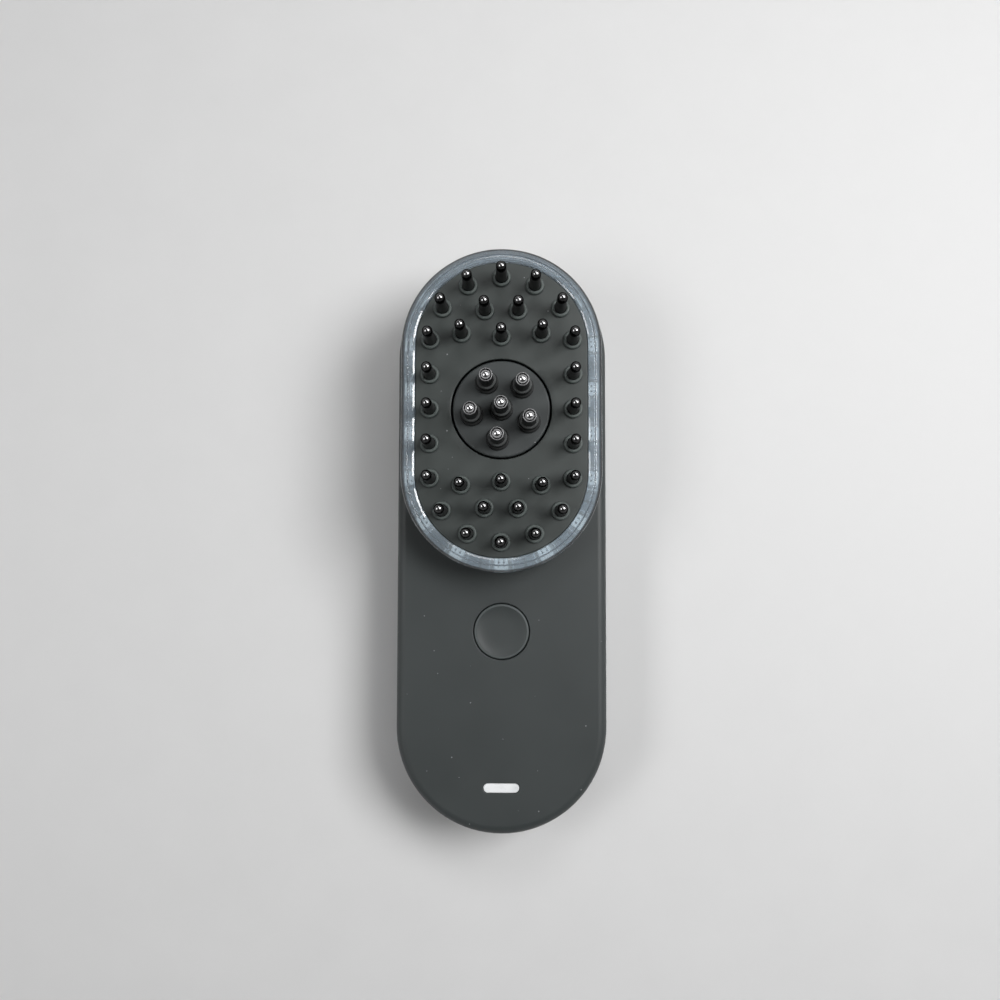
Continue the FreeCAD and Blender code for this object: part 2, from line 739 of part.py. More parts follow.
def make_motor():
    """The motor can in its soft sleeve, the shaft with its off-centre weight, and the clamp over it."""
    can = new_body("motor_can")
    along_handle(can, "Pad", ["motor_radius"], "motor_axis", "motor_end", "motor_length")
    round_level(can, "motor_start", "motor_edge_radius", axis="Y")
    round_level(can, "motor_end", "motor_edge_radius", axis="Y")
    along_handle(can, "Pocket", ["shaft_radius + fit_gap"], "motor_axis", "motor_end - shaft_seat",
                 "shaft_seat")
    sleeve = new_body("motor_sleeve")
    along_handle(sleeve, "Pad", ["sleeve_radius", "motor_radius"], "motor_axis",
                 "motor_middle + sleeve_length / 2", "sleeve_length")
    shaft = new_body("motor_shaft")
    along_handle(shaft, "Pad", ["shaft_radius"], "motor_axis", "motor_end + shaft_reach",
                 "shaft_reach + shaft_seat - part_gap")
    weight = new_body("eccentric_weight")
    weight_start = "motor_end + weight_gap"
    along_handle(weight, "Pad", ["weight_radius"], "motor_axis", weight_start + " + weight_length",
                 "weight_length")
    cut_across(weight, "3 * weight_radius", "2 * weight_radius", "motor_axis + weight_radius", weight_start,
               "weight_length")
    along_handle(weight, "Pad", ["weight_hub_radius"], "motor_axis", weight_start + " + weight_length",
                 "weight_length")
    along_handle(weight, "Pocket", ["shaft_radius"], "motor_axis", weight_start, "weight_length")
    clamp = new_body("motor_clamp")
    clamp_start = "motor_middle - clamp_width / 2"
    pad_block(clamp, "2 * (clamp_radius + clamp_foot)", "clamp_width", ("0", "motor_middle", "clamp_level"),
              "clamp_thickness")
    along_handle(clamp, "Pad", ["clamp_radius"], "motor_axis", "motor_middle + clamp_width / 2",
                 "clamp_width")
    cut_across(clamp, "3 * clamp_radius", "2 * clamp_radius", "clamp_level - clamp_radius", clamp_start,
               "clamp_width")
    along_handle(clamp, "Pocket", ["sleeve_radius"], "motor_axis", clamp_start, "clamp_width")
    cut_circles(clamp, CLAMP_SCREWS, "small_screw_radius + fit_gap",
                ("0", "0", "clamp_level + clamp_thickness"), "clamp_thickness")
    form = screw_form("clamp_screw", "small_screw_radius", "small_head_radius", "small_head_height",
                      "clamp_thickness + clamp_screw_bite")
    group("clamp_screws", copies(form, CLAMP_SCREWS, "clamp_level + clamp_thickness"))


def rounded_path(points, bend):
    """Join straight runs with tangent arcs of one radius at the corners."""
    edges = []
    start = points[0]
    for before, corner, after in zip(points, points[1:], points[2:]):
        inward = (before - corner).normalize()
        outward = (after - corner).normalize()
        tangent = bend / math.tan(inward.getAngle(outward) / 2)
        first = corner + inward * tangent
        last = corner + outward * tangent
        reach = math.hypot(bend, tangent) - bend
        middle = corner + (inward + outward).normalize() * reach
        if start.distanceToPoint(first) > 1e-6:
            edges.append(Part.LineSegment(start, first).toShape())
        edges.append(Part.Arc(first, middle, last).toShape())
        start = last
    if start.distanceToPoint(points[-1]) > 1e-6:
        edges.append(Part.LineSegment(start, points[-1]).toShape())
    return Part.Wire(edges)


def lead(points):
    """Sweep one wire's round section along its route."""
    corners = [Vector(*(number(text) for text in point)) for point in points]
    path = rounded_path(corners, number("lead_bend"))
    section = Part.Wire(Part.makeCircle(number("lead_radius"), corners[0], corners[1] - corners[0]))
    return path.makePipeShell([section], True, False)


def make_leads():
    """The pairs of wires from cell, motor and light board to the main board."""
    solder = "board_end - 2.5 * lead_spacing / 2"
    loop = "battery_end + 2 * lead_spacing"
    routes = {
        "battery_leads": ("lead_spacing / 2", [
            ("battery_end", "battery_top - battery_height / 3"), (loop, "battery_top - battery_height / 3"),
            (loop, "lead_level"), (solder, "lead_level"), (solder, "board_bottom")]),
        "motor_leads": ("lead_spacing * 3 / 2", [
            ("motor_start", "lead_level"), (solder, "lead_level"), (solder, "board_bottom")]),
        "light_leads": ("lead_spacing / 2", [
            (solder, "board_top"), (solder, "board_top + lead_spacing"),
            ("lead_slot_place", "board_top + lead_spacing"), ("lead_slot_place", "light_level")]),
    }
    for label, (side, route) in routes.items():
        group(label, [lead([(sign + side, y, z) for y, z in route]) for sign in ("", "-")])


def make_head_housing():
    """The raised stadium of the head, with a ledge for the light board and bosses on its floor."""
    body = new_body("head_housing")
    pad_stadium(body, "head_radius", "head_run", ("0", "head_middle", "face"), "head_height")
    cut_stadium(body, "head_inner", "head_run", ("0", "head_middle", "head_rim"), "head_ledge_depth")
    cut_stadium(body, "head_inner - head_ledge", "head_run", ("0", "head_middle", "light_level"),
                "light_level - head_base")
    pad_circles(body, HEAD_SCREWS, "board_boss_radius", ("0", "0", "head_base"), "head_screw_bite")
    pad_circles(body, CARRIER_SCREWS, "carrier_boss_radius", ("0", "0", "head_base"), "head_rim - head_base")
    cut_circles(body, HEAD_SCREWS, "small_screw_radius + fit_gap", ("0", "0", "head_base + head_screw_bite"),
                "head_screw_bite + head_floor")
    cut_circles(body, CARRIER_SCREWS, "small_screw_radius + fit_gap", ("0", "0", "head_rim"),
                "carrier_screw_bite + part_gap")
    cut_circles(body, DISC_PLACE, "well_outer + fit_gap", ("0", "0", "head_base"), "head_floor")
    cut_stadium(body, "lead_slot_width / 2", "(lead_slot_length - lead_slot_width) / 2",
                ("0", "lead_slot_place", "head_base"), "head_floor", turn=90)
    form = screw_form("head_screw", "small_screw_radius", "small_head_radius", "small_head_height",
                      "wall + head_floor + head_screw_bite - part_gap")
    group("head_screws", copies(form, HEAD_SCREWS, "face_inside", turn=180))


def make_light():
    """The board and small lights that run round the head under the clear ring, and the ring."""
    board = new_body("light_board")
    pad_stadium_ring(board, "light_board_outer", "light_board_outer - light_board_width", "head_run",
                     ("0", "head_middle", "light_level"), "light_board_thickness")
    form = new_body("ring_light_form", is_node=False)
    pad_block(form, "light_width", "light_length", ("0", "0", "0"), "light_height")
    lights = []
    count = int(number("light_count"))
    for x, y, angle in stadium_row(number("light_row"), number("head_run"), count, start=count / 4):
        shape = form.Shape.copy()
        place = Vector(x, y + number("head_middle"), number("light_top"))
        shape.Placement = Placement(place, Rotation(Vector(0, 0, 1), angle))
        lights.append(shape)
    group("ring_lights", lights)
    ring = new_body("light_ring")
    top = "head_rim + ring_height"
    pad_stadium_ring(ring, "head_radius", "head_radius - ring_width", "head_run",
                     ("0", "head_middle", "head_rim"), "ring_height")
    for is_outer, radius in ((True, "ring_outer_round"), (False, "ring_inner_round")):
        names = []
        for name in level_edges(ring.Shape, number(top)):
            box = ring.Shape.getElement(name).BoundBox
            reach = max(abs(box.XMin), abs(box.XMax))
            if (reach > number("head_radius - ring_width / 2 - ring_outer_round / 4")) == is_outer:
                names.append(name)
        round_edges(ring, names, radius)


def make_pins():
    """The stiff carrier, the soft panel with its collars, and the stems and metal tips of the pins."""
    carrier = new_body("pin_carrier")
    pad_stadium(carrier, "panel_radius", "head_run", ("0", "head_middle", "head_rim"), "carrier_thickness")
    cut_circles(carrier, DISC_PLACE, "well_outer + fit_gap", ("0", "0", "carrier_top"), "carrier_thickness")
    cut_circles(carrier, CARRIER_SCREWS, "small_screw_radius + fit_gap", ("0", "0", "carrier_top"),
                "carrier_thickness")
    head_room = "small_head_height + plug_recess"
    cut_circles(carrier, CARRIER_SCREWS, "small_head_radius + part_gap", ("0", "0", "carrier_top"), head_room)
    cut_circles(carrier, PINS, "stem_root_radius + fit_gap", ("0", "0", "carrier_top"), "stem_root_depth")
    form = screw_form("carrier_screw", "small_screw_radius", "small_head_radius", "small_head_height",
                      "carrier_screw_bite")
    group("carrier_screws", copies(form, CARRIER_SCREWS, f"carrier_top - ({head_room})"))
    panel = new_body("pin_panel")
    pad_stadium(panel, "panel_radius", "head_run", ("0", "head_middle", "carrier_top"), "panel_thickness")
    cut_circles(panel, DISC_PLACE, "well_radius", ("0", "0", "panel_top"), "panel_thickness")
    pad_circles(panel, PINS, "collar_radius", ("0", "0", "panel_top"), "collar_height")
    round_level(panel, "panel_top + collar_height", "collar_round")
    cut_circles(panel, PINS, "stem_root_radius + fit_gap", ("0", "0", "panel_top + collar_height"),
                "panel_thickness + collar_height")
    stem = new_body("pin_stem_form", is_node=False)
    revolve(stem, [("0", "0"), ("stem_root_radius", "0"),
                   ("stem_root_radius", "stem_root_depth + panel_thickness + collar_height"),
                   ("stem_top_radius", "stem_length"), ("0", "stem_length")])
    group("pin_stems", copies(stem, PINS, "stem_bottom"))
    tip = new_body("pin_tip_form", is_node=False)
    pad_circles(tip, [("0", "0")], "tip_radius", ("0", "0", "0"), "tip_length")
    round_level(tip, "tip_length", "tip_round")
    group("pin_tips", copies(tip, PINS, "stem_bottom + stem_length"))


def make_applicator():
    """The well in the head and the lift-out bottle with its cap, seals, ball sockets and balls."""
    well = new_body("applicator_well")
    flange = "well_outer + well_flange"
    flange_top = "head_base + well_flange_height"
    revolve(well, [("0", "well_base - well_floor"), ("well_outer", "well_base - well_floor"),
                   ("well_outer", "head_base"), (flange, "head_base"), (flange, flange_top),
                   ("well_outer", flange_top), ("well_outer", "carrier_top"), ("well_radius", "carrier_top"),
                   ("well_radius", "well_base"), ("0", "well_base")], y="head_middle")
    bottle = new_body("applicator_bottle")
    groove = "ring_seal_path - ring_seal_radius"
    groove_low = "ring_seal_level - ring_seal_radius - fit_gap"
    groove_high = "ring_seal_level + ring_seal_radius + fit_gap"
    revolve(bottle, [("0", "bottle_bottom"), ("disc_radius", "bottle_bottom"), ("disc_radius", groove_low),
                     (groove, groove_low), (groove, groove_high), ("disc_radius", groove_high),
                     ("disc_radius", "bottle_top"), ("bottle_inner", "bottle_top"),
                     ("bottle_inner", "bottle_bottom + bottle_floor"), ("0", "bottle_bottom + bottle_floor")],
            y="head_middle")
    ring_seal = doc.addObject("Part::Torus", "ring_seal")
    ring_seal.setExpression("Radius1", bound("ring_seal_path"))
    ring_seal.setExpression("Radius2", bound("ring_seal_radius"))
    ring_seal.setExpression("Placement.Base.y", bound("head_middle"))
    ring_seal.setExpression("Placement.Base.z", bound("ring_seal_level"))
    nodes.append(ring_seal)
    cap_seal = new_body("cap_seal")
    seal_inner = "bottle_inner + fit_gap"
    seal_outer = "disc_radius - fit_gap"
    revolve(cap_seal, [(seal_inner, "bottle_top"), (seal_outer, "bottle_top"), (seal_outer, "cap_bottom"),
                       (seal_inner, "cap_bottom")], y="head_middle")
    cap = new_body("applicator_cap")
    spigot_inner = "spigot_radius - cap_spigot_wall"
    spigot_end = "bottle_top - cap_spigot_height"
    revolve(cap, [("0", "cap_bottom"), (spigot_inner, "cap_bottom"), (spigot_inner, spigot_end),
                  ("spigot_radius", spigot_end), ("spigot_radius", "cap_bottom"),
                  ("disc_radius", "cap_bottom"), ("disc_radius", "panel_top"), ("0", "panel_top")],
            y="head_middle")
    round_level(cap, "panel_top", "disc_edge_round")
    cut_circles(cap, BALL_PLACES, "outlet_outer + fit_gap", ("0", "0", "panel_top"),
                "panel_top - bottle_top + cap_spigot_height + part_gap")


def make_balls():
    """Six sockets on the cap, each with a steel ball trapped under its lip."""
    form = new_body("ball_socket_form", is_node=False)
    rim = "ball_rise + rim_rise"
    lip = "sqrt(ball_radius ^ 2 - (rim_rise - rim_lip) ^ 2) + ball_play"
    seat = "ball_rise - ball_radius"
    revolve(form, [("outlet_radius", "-cap_thickness"), ("outlet_outer", "-cap_thickness"),
                   ("outlet_outer", "0"), ("post_flange_radius", "0"),
                   ("post_flange_radius", "post_flange_height / 2"),
                   ("post_radius", "post_flange_height"), ("post_radius", "post_shoulder"),
                   ("neck_radius", "post_shoulder + neck_step"),
                   ("rim_radius", "ball_rise - ball_radius / 2"), ("rim_radius", rim), (lip, rim),
                   (lip, rim + " - rim_lip"), ("chamber_radius", rim + " - 2 * rim_lip"),
                   ("chamber_radius", seat + " + part_gap"), ("outlet_radius", seat + " - 2 * ball_play")])
    group("ball_sockets", copies(form, BALL_PLACES, "panel_top"))
    for index, (x, y) in enumerate(BALL_PLACES, start=1):
        ball = doc.addObject("Part::Sphere", f"roller_ball_{index}")
        ball.setExpression("Radius", bound("ball_radius"))
        for axis, text in zip("xyz", (x, y, "panel_top + ball_rise")):
            ball.setExpression("Placement.Base." + axis, bound(text))
        nodes.append(ball)


def check_model():
    """Stop unless every object is sound and every cut has taken something away."""
    doc.recompute()
    for item in doc.Objects:
        if "Invalid" in item.State or "Error" in item.State:
            raise RuntimeError(f"{item.Label} failed: {item.State}")
        if item.TypeId == "PartDesign::Pocket" and item.Shape.Volume > item.BaseFeature.Shape.Volume - 1e-6:
            raise RuntimeError(f"{item.Label} cuts nothing")
    for node in nodes:
        if node.Shape.isNull() or not node.Shape.isValid():
            raise RuntimeError(f"{node.Label} has no sound shape")


def write_parts():
    """Write each node to its own file."""
    os.makedirs("parts", exist_ok=True)
    for node in nodes:
        node.Shape.exportStep(f"parts/{node.Label}.step")
        print(f"{node.Label}: {len(node.Shape.Solids)} solids, {node.Shape.Volume:.1f} mm3")


for make in (make_rear_cover, make_front_cover, make_case_seal, make_case_fasteners, make_battery, make_board,
             make_charging_socket, make_button, make_status_lens, make_motor, make_leads, make_head_housing,
             make_light, make_pins, make_applicator, make_balls):
    make()
check_model()
write_parts()
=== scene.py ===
"""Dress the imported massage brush: fine surfaces for what shows, finishes for all, and a plain stage."""
import json
import math

import bmesh
import bpy
import numpy as np
from bpy.props import FloatProperty, FloatVectorProperty, IntProperty, PointerProperty
from mathutils import Matrix, Vector


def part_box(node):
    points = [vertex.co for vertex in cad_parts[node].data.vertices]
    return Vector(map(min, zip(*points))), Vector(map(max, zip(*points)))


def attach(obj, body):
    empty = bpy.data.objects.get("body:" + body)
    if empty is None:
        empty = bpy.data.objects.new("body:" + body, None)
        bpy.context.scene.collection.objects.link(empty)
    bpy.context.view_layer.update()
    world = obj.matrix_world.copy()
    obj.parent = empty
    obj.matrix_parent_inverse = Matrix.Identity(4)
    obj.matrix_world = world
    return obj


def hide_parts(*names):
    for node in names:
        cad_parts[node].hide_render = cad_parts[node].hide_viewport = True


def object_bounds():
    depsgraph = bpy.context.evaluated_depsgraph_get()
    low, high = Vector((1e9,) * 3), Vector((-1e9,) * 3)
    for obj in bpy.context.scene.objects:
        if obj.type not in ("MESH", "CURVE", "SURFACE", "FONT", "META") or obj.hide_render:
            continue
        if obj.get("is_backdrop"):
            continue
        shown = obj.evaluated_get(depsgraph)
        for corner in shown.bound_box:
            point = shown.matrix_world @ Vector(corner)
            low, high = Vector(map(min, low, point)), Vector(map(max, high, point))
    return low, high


bl_info = {
    "name": "Massage Brush",
    "version": (1, 0, 0),
    "blender": (4, 5, 0),
    "location": "View3D > Sidebar > Brush",
    "description": "Builds the visible pieces, finishes and stage of an electric massage brush",
    "category": "Add Mesh",
}

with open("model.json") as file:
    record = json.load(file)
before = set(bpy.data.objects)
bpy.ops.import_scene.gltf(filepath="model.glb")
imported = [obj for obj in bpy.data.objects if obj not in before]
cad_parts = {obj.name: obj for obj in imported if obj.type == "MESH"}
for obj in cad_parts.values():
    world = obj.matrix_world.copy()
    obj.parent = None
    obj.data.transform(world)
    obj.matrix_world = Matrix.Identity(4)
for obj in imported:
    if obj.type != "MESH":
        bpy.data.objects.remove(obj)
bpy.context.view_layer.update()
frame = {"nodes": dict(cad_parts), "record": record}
MM = 0.001
SAME_POINT = 1e-7

# Colours that no setting changes
DUST_COLOUR = (0.32, 0.33, 0.34, 1.0)
SEAM_COLOUR = (0.004, 0.004, 0.004, 1.0)
RING_EDGE_COLOUR = (0.02, 0.022, 0.024, 1.0)
GREEN_TRACKS = (0.1, 0.3, 0.16, 1.0)
PALE_TRACKS = (0.62, 0.6, 0.54, 1.0)

# Stage, in metres and in linear light
FLOOR_HALF = 0.9
FLOOR_DROP = 0.02 * MM
HAZE_NEAR = 0.2
HAZE_FAR = 0.45
HORIZON_LEVEL = 0.6
SKY_LEVEL = 0.045
LAMP_DISTANCE = 0.6
LAMP_TARGET = (0.0, 0.0, 30 * MM)
CAMERA_PLACE = (2.74 * MM, -2.97 * MM, 261.84 * MM)
CAMERA_TILT = math.radians(3.13)
CAMERA_PAN = math.radians(-0.76)
CAMERA_ROLL = math.radians(0.08)


class BrushSizes(bpy.types.PropertyGroup):
    """Sizes of the surfaces that are finer than the solids they stand for."""
    row_radius: FloatProperty(
        name="Pin row radius", description="Radius of the round ends of the outer row of pins",
        default=17.05 * MM, unit="LENGTH")
    row_run: FloatProperty(
        name="Pin row run", description="Half length of the straight sides of the outer row of pins",
        default=14.55 * MM, unit="LENGTH")
    row_count: IntProperty(name="Pins in the row", description="Pins in the outer row", default=20)
    collar_radius: FloatProperty(
        name="Collar radius", description="Outer radius of the soft ring round each pin",
        default=2.26 * MM, unit="LENGTH")
    collar_bore: FloatProperty(
        name="Collar bore", description="Inner radius of the soft ring round each pin",
        default=1.48 * MM, unit="LENGTH")
    collar_height: FloatProperty(
        name="Collar height", description="Rise of the soft ring over the panel",
        default=0.95 * MM, unit="LENGTH")
    stem_root: FloatProperty(
        name="Stem root", description="Radius of a pin's stem at the panel",
        default=1.39 * MM, unit="LENGTH")
    stem_top: FloatProperty(
        name="Stem top", description="Radius of a pin's stem under its tip",
        default=1.22 * MM, unit="LENGTH")
    tip_radius: FloatProperty(
        name="Tip radius", description="Radius of a pin's polished tip",
        default=1.21 * MM, unit="LENGTH")
    ball_circle: FloatProperty(
        name="Ball circle", description="Radius of the circle that the five outer balls stand on",
        default=7.2 * MM, unit="LENGTH")
    ball_clock: FloatProperty(
        name="Ball clock", description="Angle of the first outer ball from the right",
        default=math.radians(47.0), subtype="ANGLE")
    dish_depth: FloatProperty(
        name="Dish depth", description="Depth of the hollow in the power button",
        default=0.5 * MM, unit="LENGTH")


class BrushColours(bpy.types.PropertyGroup):
    """Base colours of the finishes, in linear light."""
    soft_touch: FloatVectorProperty(
        name="Soft touch", description="Charcoal coat of the covers and the button",
        default=(0.042, 0.049, 0.0495), subtype="COLOR", min=0.0, max=1.0)
    silicone: FloatVectorProperty(
        name="Silicone", description="Dark grey panel that the pins stand in",
        default=(0.043, 0.051, 0.0488), subtype="COLOR", min=0.0, max=1.0)
    socket: FloatVectorProperty(
        name="Socket", description="Black plastic of the posts that hold the balls",
        default=(0.016, 0.017, 0.017), subtype="COLOR", min=0.0, max=1.0)
    stem: FloatVectorProperty(
        name="Stem", description="Black plastic of the pin stems",
        default=(0.014, 0.014, 0.014), subtype="COLOR", min=0.0, max=1.0)
    # Colour of the tips' crown, which is painted brighter than their flanks as a painted highlight.
    tip: FloatVectorProperty(
        name="Tip", description="Polished crown of the dark pin tips",
        default=(0.3, 0.3, 0.304), subtype="COLOR", min=0.0, max=1.0)
    ring: FloatVectorProperty(
        name="Ring", description="Tint of the clear light ring",
        default=(0.67, 0.78, 0.87), subtype="COLOR", min=0.0, max=1.0)
    lens: FloatVectorProperty(
        name="Lens", description="Milky white of the status lens",
        default=(0.78, 0.8, 0.81), subtype="COLOR", min=0.0, max=1.0)
    floor: FloatVectorProperty(
        name="Floor", description="Pale floor of the stage",
        default=(0.8, 0.8, 0.8), subtype="COLOR", min=0.0, max=1.0)


def rounded_profile(corners, steps=6):
    """Profile in (radius, height) from corners of (radius, height, ease). Each corner P becomes the parabola
    (1-t)^2 A + 2t(1-t) P + t^2 B, where A and B lie on its two edges at the corner's ease from P."""
    table = np.asarray(corners, float)
    corner, reach = table[:, :2], table[:, 2:]
    before = np.roll(corner, 1, axis=0) - corner
    after = np.roll(corner, -1, axis=0) - corner
    start = corner + before / np.linalg.norm(before, axis=1, keepdims=True) * reach
    stop = corner + after / np.linalg.norm(after, axis=1, keepdims=True) * reach
    t = np.linspace(0.0, 1.0, steps)[None, :, None]
    bend = (1 - t) ** 2 * start[:, None] + 2 * t * (1 - t) * corner[:, None] + t ** 2 * stop[:, None]
    points = bend.reshape(-1, 2)
    fresh = np.linalg.norm(points - np.roll(points, 1, axis=0), axis=1) > SAME_POINT
    return points[fresh]


def stadium_path(run, arc_steps, side_steps):
    """Angles and middle points round a stadium, counter-clockwise from the foot of its right side.
    A point at any radius r is middle + r (cos angle, sin angle), so offsets keep the same stations."""
    arc = np.linspace(0.0, math.pi, arc_steps, endpoint=False)
    side = np.linspace(-run, run, side_steps, endpoint=False)
    angle = np.concatenate([np.zeros(side_steps), arc, np.full(side_steps, math.pi), math.pi + arc])
    middle = np.concatenate([side, np.full(arc_steps, run), -side, np.full(arc_steps, -run)])
    return angle, middle


def sweep(profile, angle, middle, centre):
    """Carry a profile of (radius, height) round a stadium path about the centre: the point of station u
    and profile point v is x = r(v) cos a(u), y = m(u) + r(v) sin a(u), z = h(v)."""
    radius = profile[:, 0][:, None]
    x = centre[0] + radius * np.cos(angle)
    y = centre[1] + middle + radius * np.sin(angle)
    z = np.broadcast_to(profile[:, 1][:, None], x.shape)
    return np.stack([x, y, z], axis=-1)


def spin(profile, centres, steps):
    """Turn a profile of (radius, height) about upright axes, for every centre at once:
    x = cx + r(v) cos a(u), y = cy + r(v) sin a(u), z = cz + h(v)."""
    angle = np.linspace(0.0, 2 * math.pi, steps, endpoint=False)
    ring = sweep(profile, angle, np.zeros(steps), (0.0, 0.0))
    return np.asarray(centres, float)[:, None, None, :] + ring[None]


def grid_quads(rows, columns, closed):
    """Corner numbers of a grid's quads. Columns run on round to the first, and rows too where closed."""
    row = np.arange(rows if closed else rows - 1)[:, None]
    column = np.arange(columns)[None, :]
    here, above = row * columns, (row + 1) % rows * columns
    beside = (column + 1) % columns
    quads = [here + column, here + beside, above + beside, above + column]
    return np.stack(quads, axis=-1).reshape(-1, 4)


def shell(grids, closed=True):
    """Points and quads of one grid, or of a stack of like grids numbered on from each other."""
    grids = grids.reshape((-1,) + grids.shape[-3:])
    count, rows, columns = grids.shape[:3]
    quads = grid_quads(rows, columns, closed)
    quads = quads[None] + (np.arange(count) * rows * columns)[:, None, None]
    return grids.reshape(-1, 3), quads.reshape(-1, 4)


def make_piece(name, shells, body, slot, replaced):
    """Join shells in one mesh at the origin, close its poles, and let it ride on a body for some nodes."""
    old = bpy.data.objects.get(name)
    if old:
        bpy.data.objects.remove(old)
    starts = np.cumsum([0] + [len(points) for points, quads in shells[:-1]])
    points = np.concatenate([points for points, quads in shells])
    quads = np.concatenate([part[1] + start for part, start in zip(shells, starts)])
    mesh = bpy.data.meshes.new(name)
    mesh.from_pydata(points, [], quads)
    built = bmesh.new()
    built.from_mesh(mesh)
    bmesh.ops.remove_doubles(built, verts=built.verts, dist=SAME_POINT)
    bmesh.ops.dissolve_degenerate(built, edges=built.edges, dist=1e-8)
    built.to_mesh(mesh)
    built.free()
    mesh.shade_smooth()
    piece = bpy.data.objects.new(name, mesh)
    bpy.context.scene.collection.objects.link(piece)
    even = piece.modifiers.new("Even shading", "WEIGHTED_NORMAL")
    even.weight = 100
    mesh.materials.append(finish(slot))
    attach(piece, body)
    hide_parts(*replaced)
    return piece


def add_node(tree, kind, inputs=None, **settings):
    """Place a node, set its options, and set or link its inputs by name or number."""
    node = tree.nodes.new(kind)
    for name, value in settings.items():
        setattr(node, name, value)
    for name, value in (inputs or {}).items():
        socket = node.inputs[name]
        if isinstance(value, bpy.types.NodeSocket):
            tree.links.new(value, socket)
        else:
            socket.default_value = value
    return node


def placed(tree):
    """Place of the shaded point on its object."""
    return add_node(tree, "ShaderNodeTexCoord").outputs["Object"]


def along(tree, axis):
    """One coordinate of the shaded point's place."""
    return add_node(tree, "ShaderNodeSeparateXYZ", {"Vector": placed(tree)}).outputs[axis]


def reckon(tree, operation, *values, **settings):
    """Outcome of a sum on numbers or sockets."""
    inputs = dict(enumerate(values))
    return add_node(tree, "ShaderNodeMath", inputs, operation=operation, **settings).outputs[0]


def ranged(tree, value, start, stop, to=(0.0, 1.0), **settings):
    """A value carried from one span to another and held at both ends."""
    return add_node(tree, "ShaderNodeMapRange", {
        "Value": value, "From Min": start, "From Max": stop, "To Min": to[0], "To Max": to[1]},
        **settings).outputs["Result"]


def mixed(tree, share, first, second):
    """Mix of two colours by the share of the second."""
    return add_node(tree, "ShaderNodeMix", {"Factor": share, 6: first, 7: second},
                    data_type="RGBA").outputs[2]


def fixed(shader, values):
    """Set plain values on a shader's sockets by name."""
    for name, value in values.items():
        shader.inputs[name].default_value = value


def new_group(name, inputs, outputs):
    """Start a shader group of number inputs and outputs. Gives its tree, input node and output node."""
    tree = bpy.data.node_groups.new(name, "ShaderNodeTree")
    for label, value in inputs.items():
        socket = tree.interface.new_socket(label, in_out="INPUT", socket_type="NodeSocketFloat")
        socket.default_value = value
    for label in outputs:
        tree.interface.new_socket(label, in_out="OUTPUT", socket_type="NodeSocketFloat")
    return tree, add_node(tree, "NodeGroupInput"), add_node(tree, "NodeGroupOutput")


def grain_group():
    """Moulded grain: a fine noise as height, and a broad, slow one as tone."""
    if "Moulded Grain" in bpy.data.node_groups:
        return bpy.data.node_groups["Moulded Grain"]
    tree, source, sink = new_group("Moulded Grain", {"Scale": 5000.0, "Patch": 60.0}, ("Height", "Tone"))
    place = placed(tree)
    fine = add_node(tree, "ShaderNodeTexNoise", {
        "Vector": place, "Scale": source.outputs["Scale"], "Detail": 3.0, "Roughness": 0.6})
    broad = add_node(tree, "ShaderNodeTexNoise", {
        "Vector": place, "Scale": source.outputs["Patch"], "Detail": 5.0, "Roughness": 0.55})
    tree.links.new(fine.outputs["Fac"], sink.inputs["Height"])
    tree.links.new(ranged(tree, broad.outputs["Fac"], 0.3, 0.7), sink.inputs["Tone"])
    return tree


def dust_group():
    """Dust: a few of the points of a cell pattern, each a speck of up to the given size, as a mask."""
    if "Settled Dust" in bpy.data.node_groups:
        return bpy.data.node_groups["Settled Dust"]
    tree, source, sink = new_group("Settled Dust", {"Scale": 380.0, "Size": 0.07, "Share": 0.6}, ("Mask",))
    cells = add_node(tree, "ShaderNodeTexVoronoi", {"Vector": placed(tree), "Scale": source.outputs["Scale"]})
    pick = add_node(tree, "ShaderNodeSeparateColor", {"Color": cells.outputs["Color"]}).outputs
    kept = reckon(tree, "LESS_THAN", pick["Red"], source.outputs["Share"])
    reach = reckon(tree, "MULTIPLY", source.outputs["Size"], pick["Green"])
    speck = reckon(tree, "LESS_THAN", cells.outputs["Distance"], reach)
    tree.links.new(reckon(tree, "MULTIPLY", kept, speck), sink.inputs["Mask"])
    return tree


def scratch_group():
    """Fine scratches: a noise drawn out along one direction, as height and mask."""
    if "Fine Scratches" in bpy.data.node_groups:
        return bpy.data.node_groups["Fine Scratches"]
    tree, source, sink = new_group("Fine Scratches", {"Scale": 900.0}, ("Height", "Mask"))
    drawn = add_node(tree, "ShaderNodeMapping", {
        "Vector": placed(tree), "Rotation": (0.4, 0.3, 0.9), "Scale": (1.0, 0.06, 1.0)})
    noise = add_node(tree, "ShaderNodeTexNoise", {
        "Vector": drawn.outputs["Vector"], "Scale": source.outputs["Scale"], "Detail": 4.0})
    tree.links.new(noise.outputs["Fac"], sink.inputs["Height"])
    tree.links.new(ranged(tree, noise.outputs["Fac"], 0.52, 0.7), sink.inputs["Mask"])
    return tree


def stadium_group():
    """Distance from the line down the middle of a stadium that lies along Y."""
    if "Stadium Distance" in bpy.data.node_groups:
        return bpy.data.node_groups["Stadium Distance"]
    tree, source, sink = new_group("Stadium Distance", {"Middle": 0.0, "Run": 0.015}, ("Distance",))
    parts = add_node(tree, "ShaderNodeSeparateXYZ", {"Vector": placed(tree)}).outputs
    offset = reckon(tree, "SUBTRACT", parts["Y"], source.outputs["Middle"])
    past = reckon(tree, "SUBTRACT", reckon(tree, "ABSOLUTE", offset), source.outputs["Run"])
    end = reckon(tree, "MAXIMUM", past, 0.0)
    flat = add_node(tree, "ShaderNodeCombineXYZ", {"X": parts["X"], "Y": end})
    length = add_node(tree, "ShaderNodeVectorMath", {0: flat.outputs["Vector"]}, operation="LENGTH")
    tree.links.new(length.outputs["Value"], sink.inputs["Distance"])
    return tree


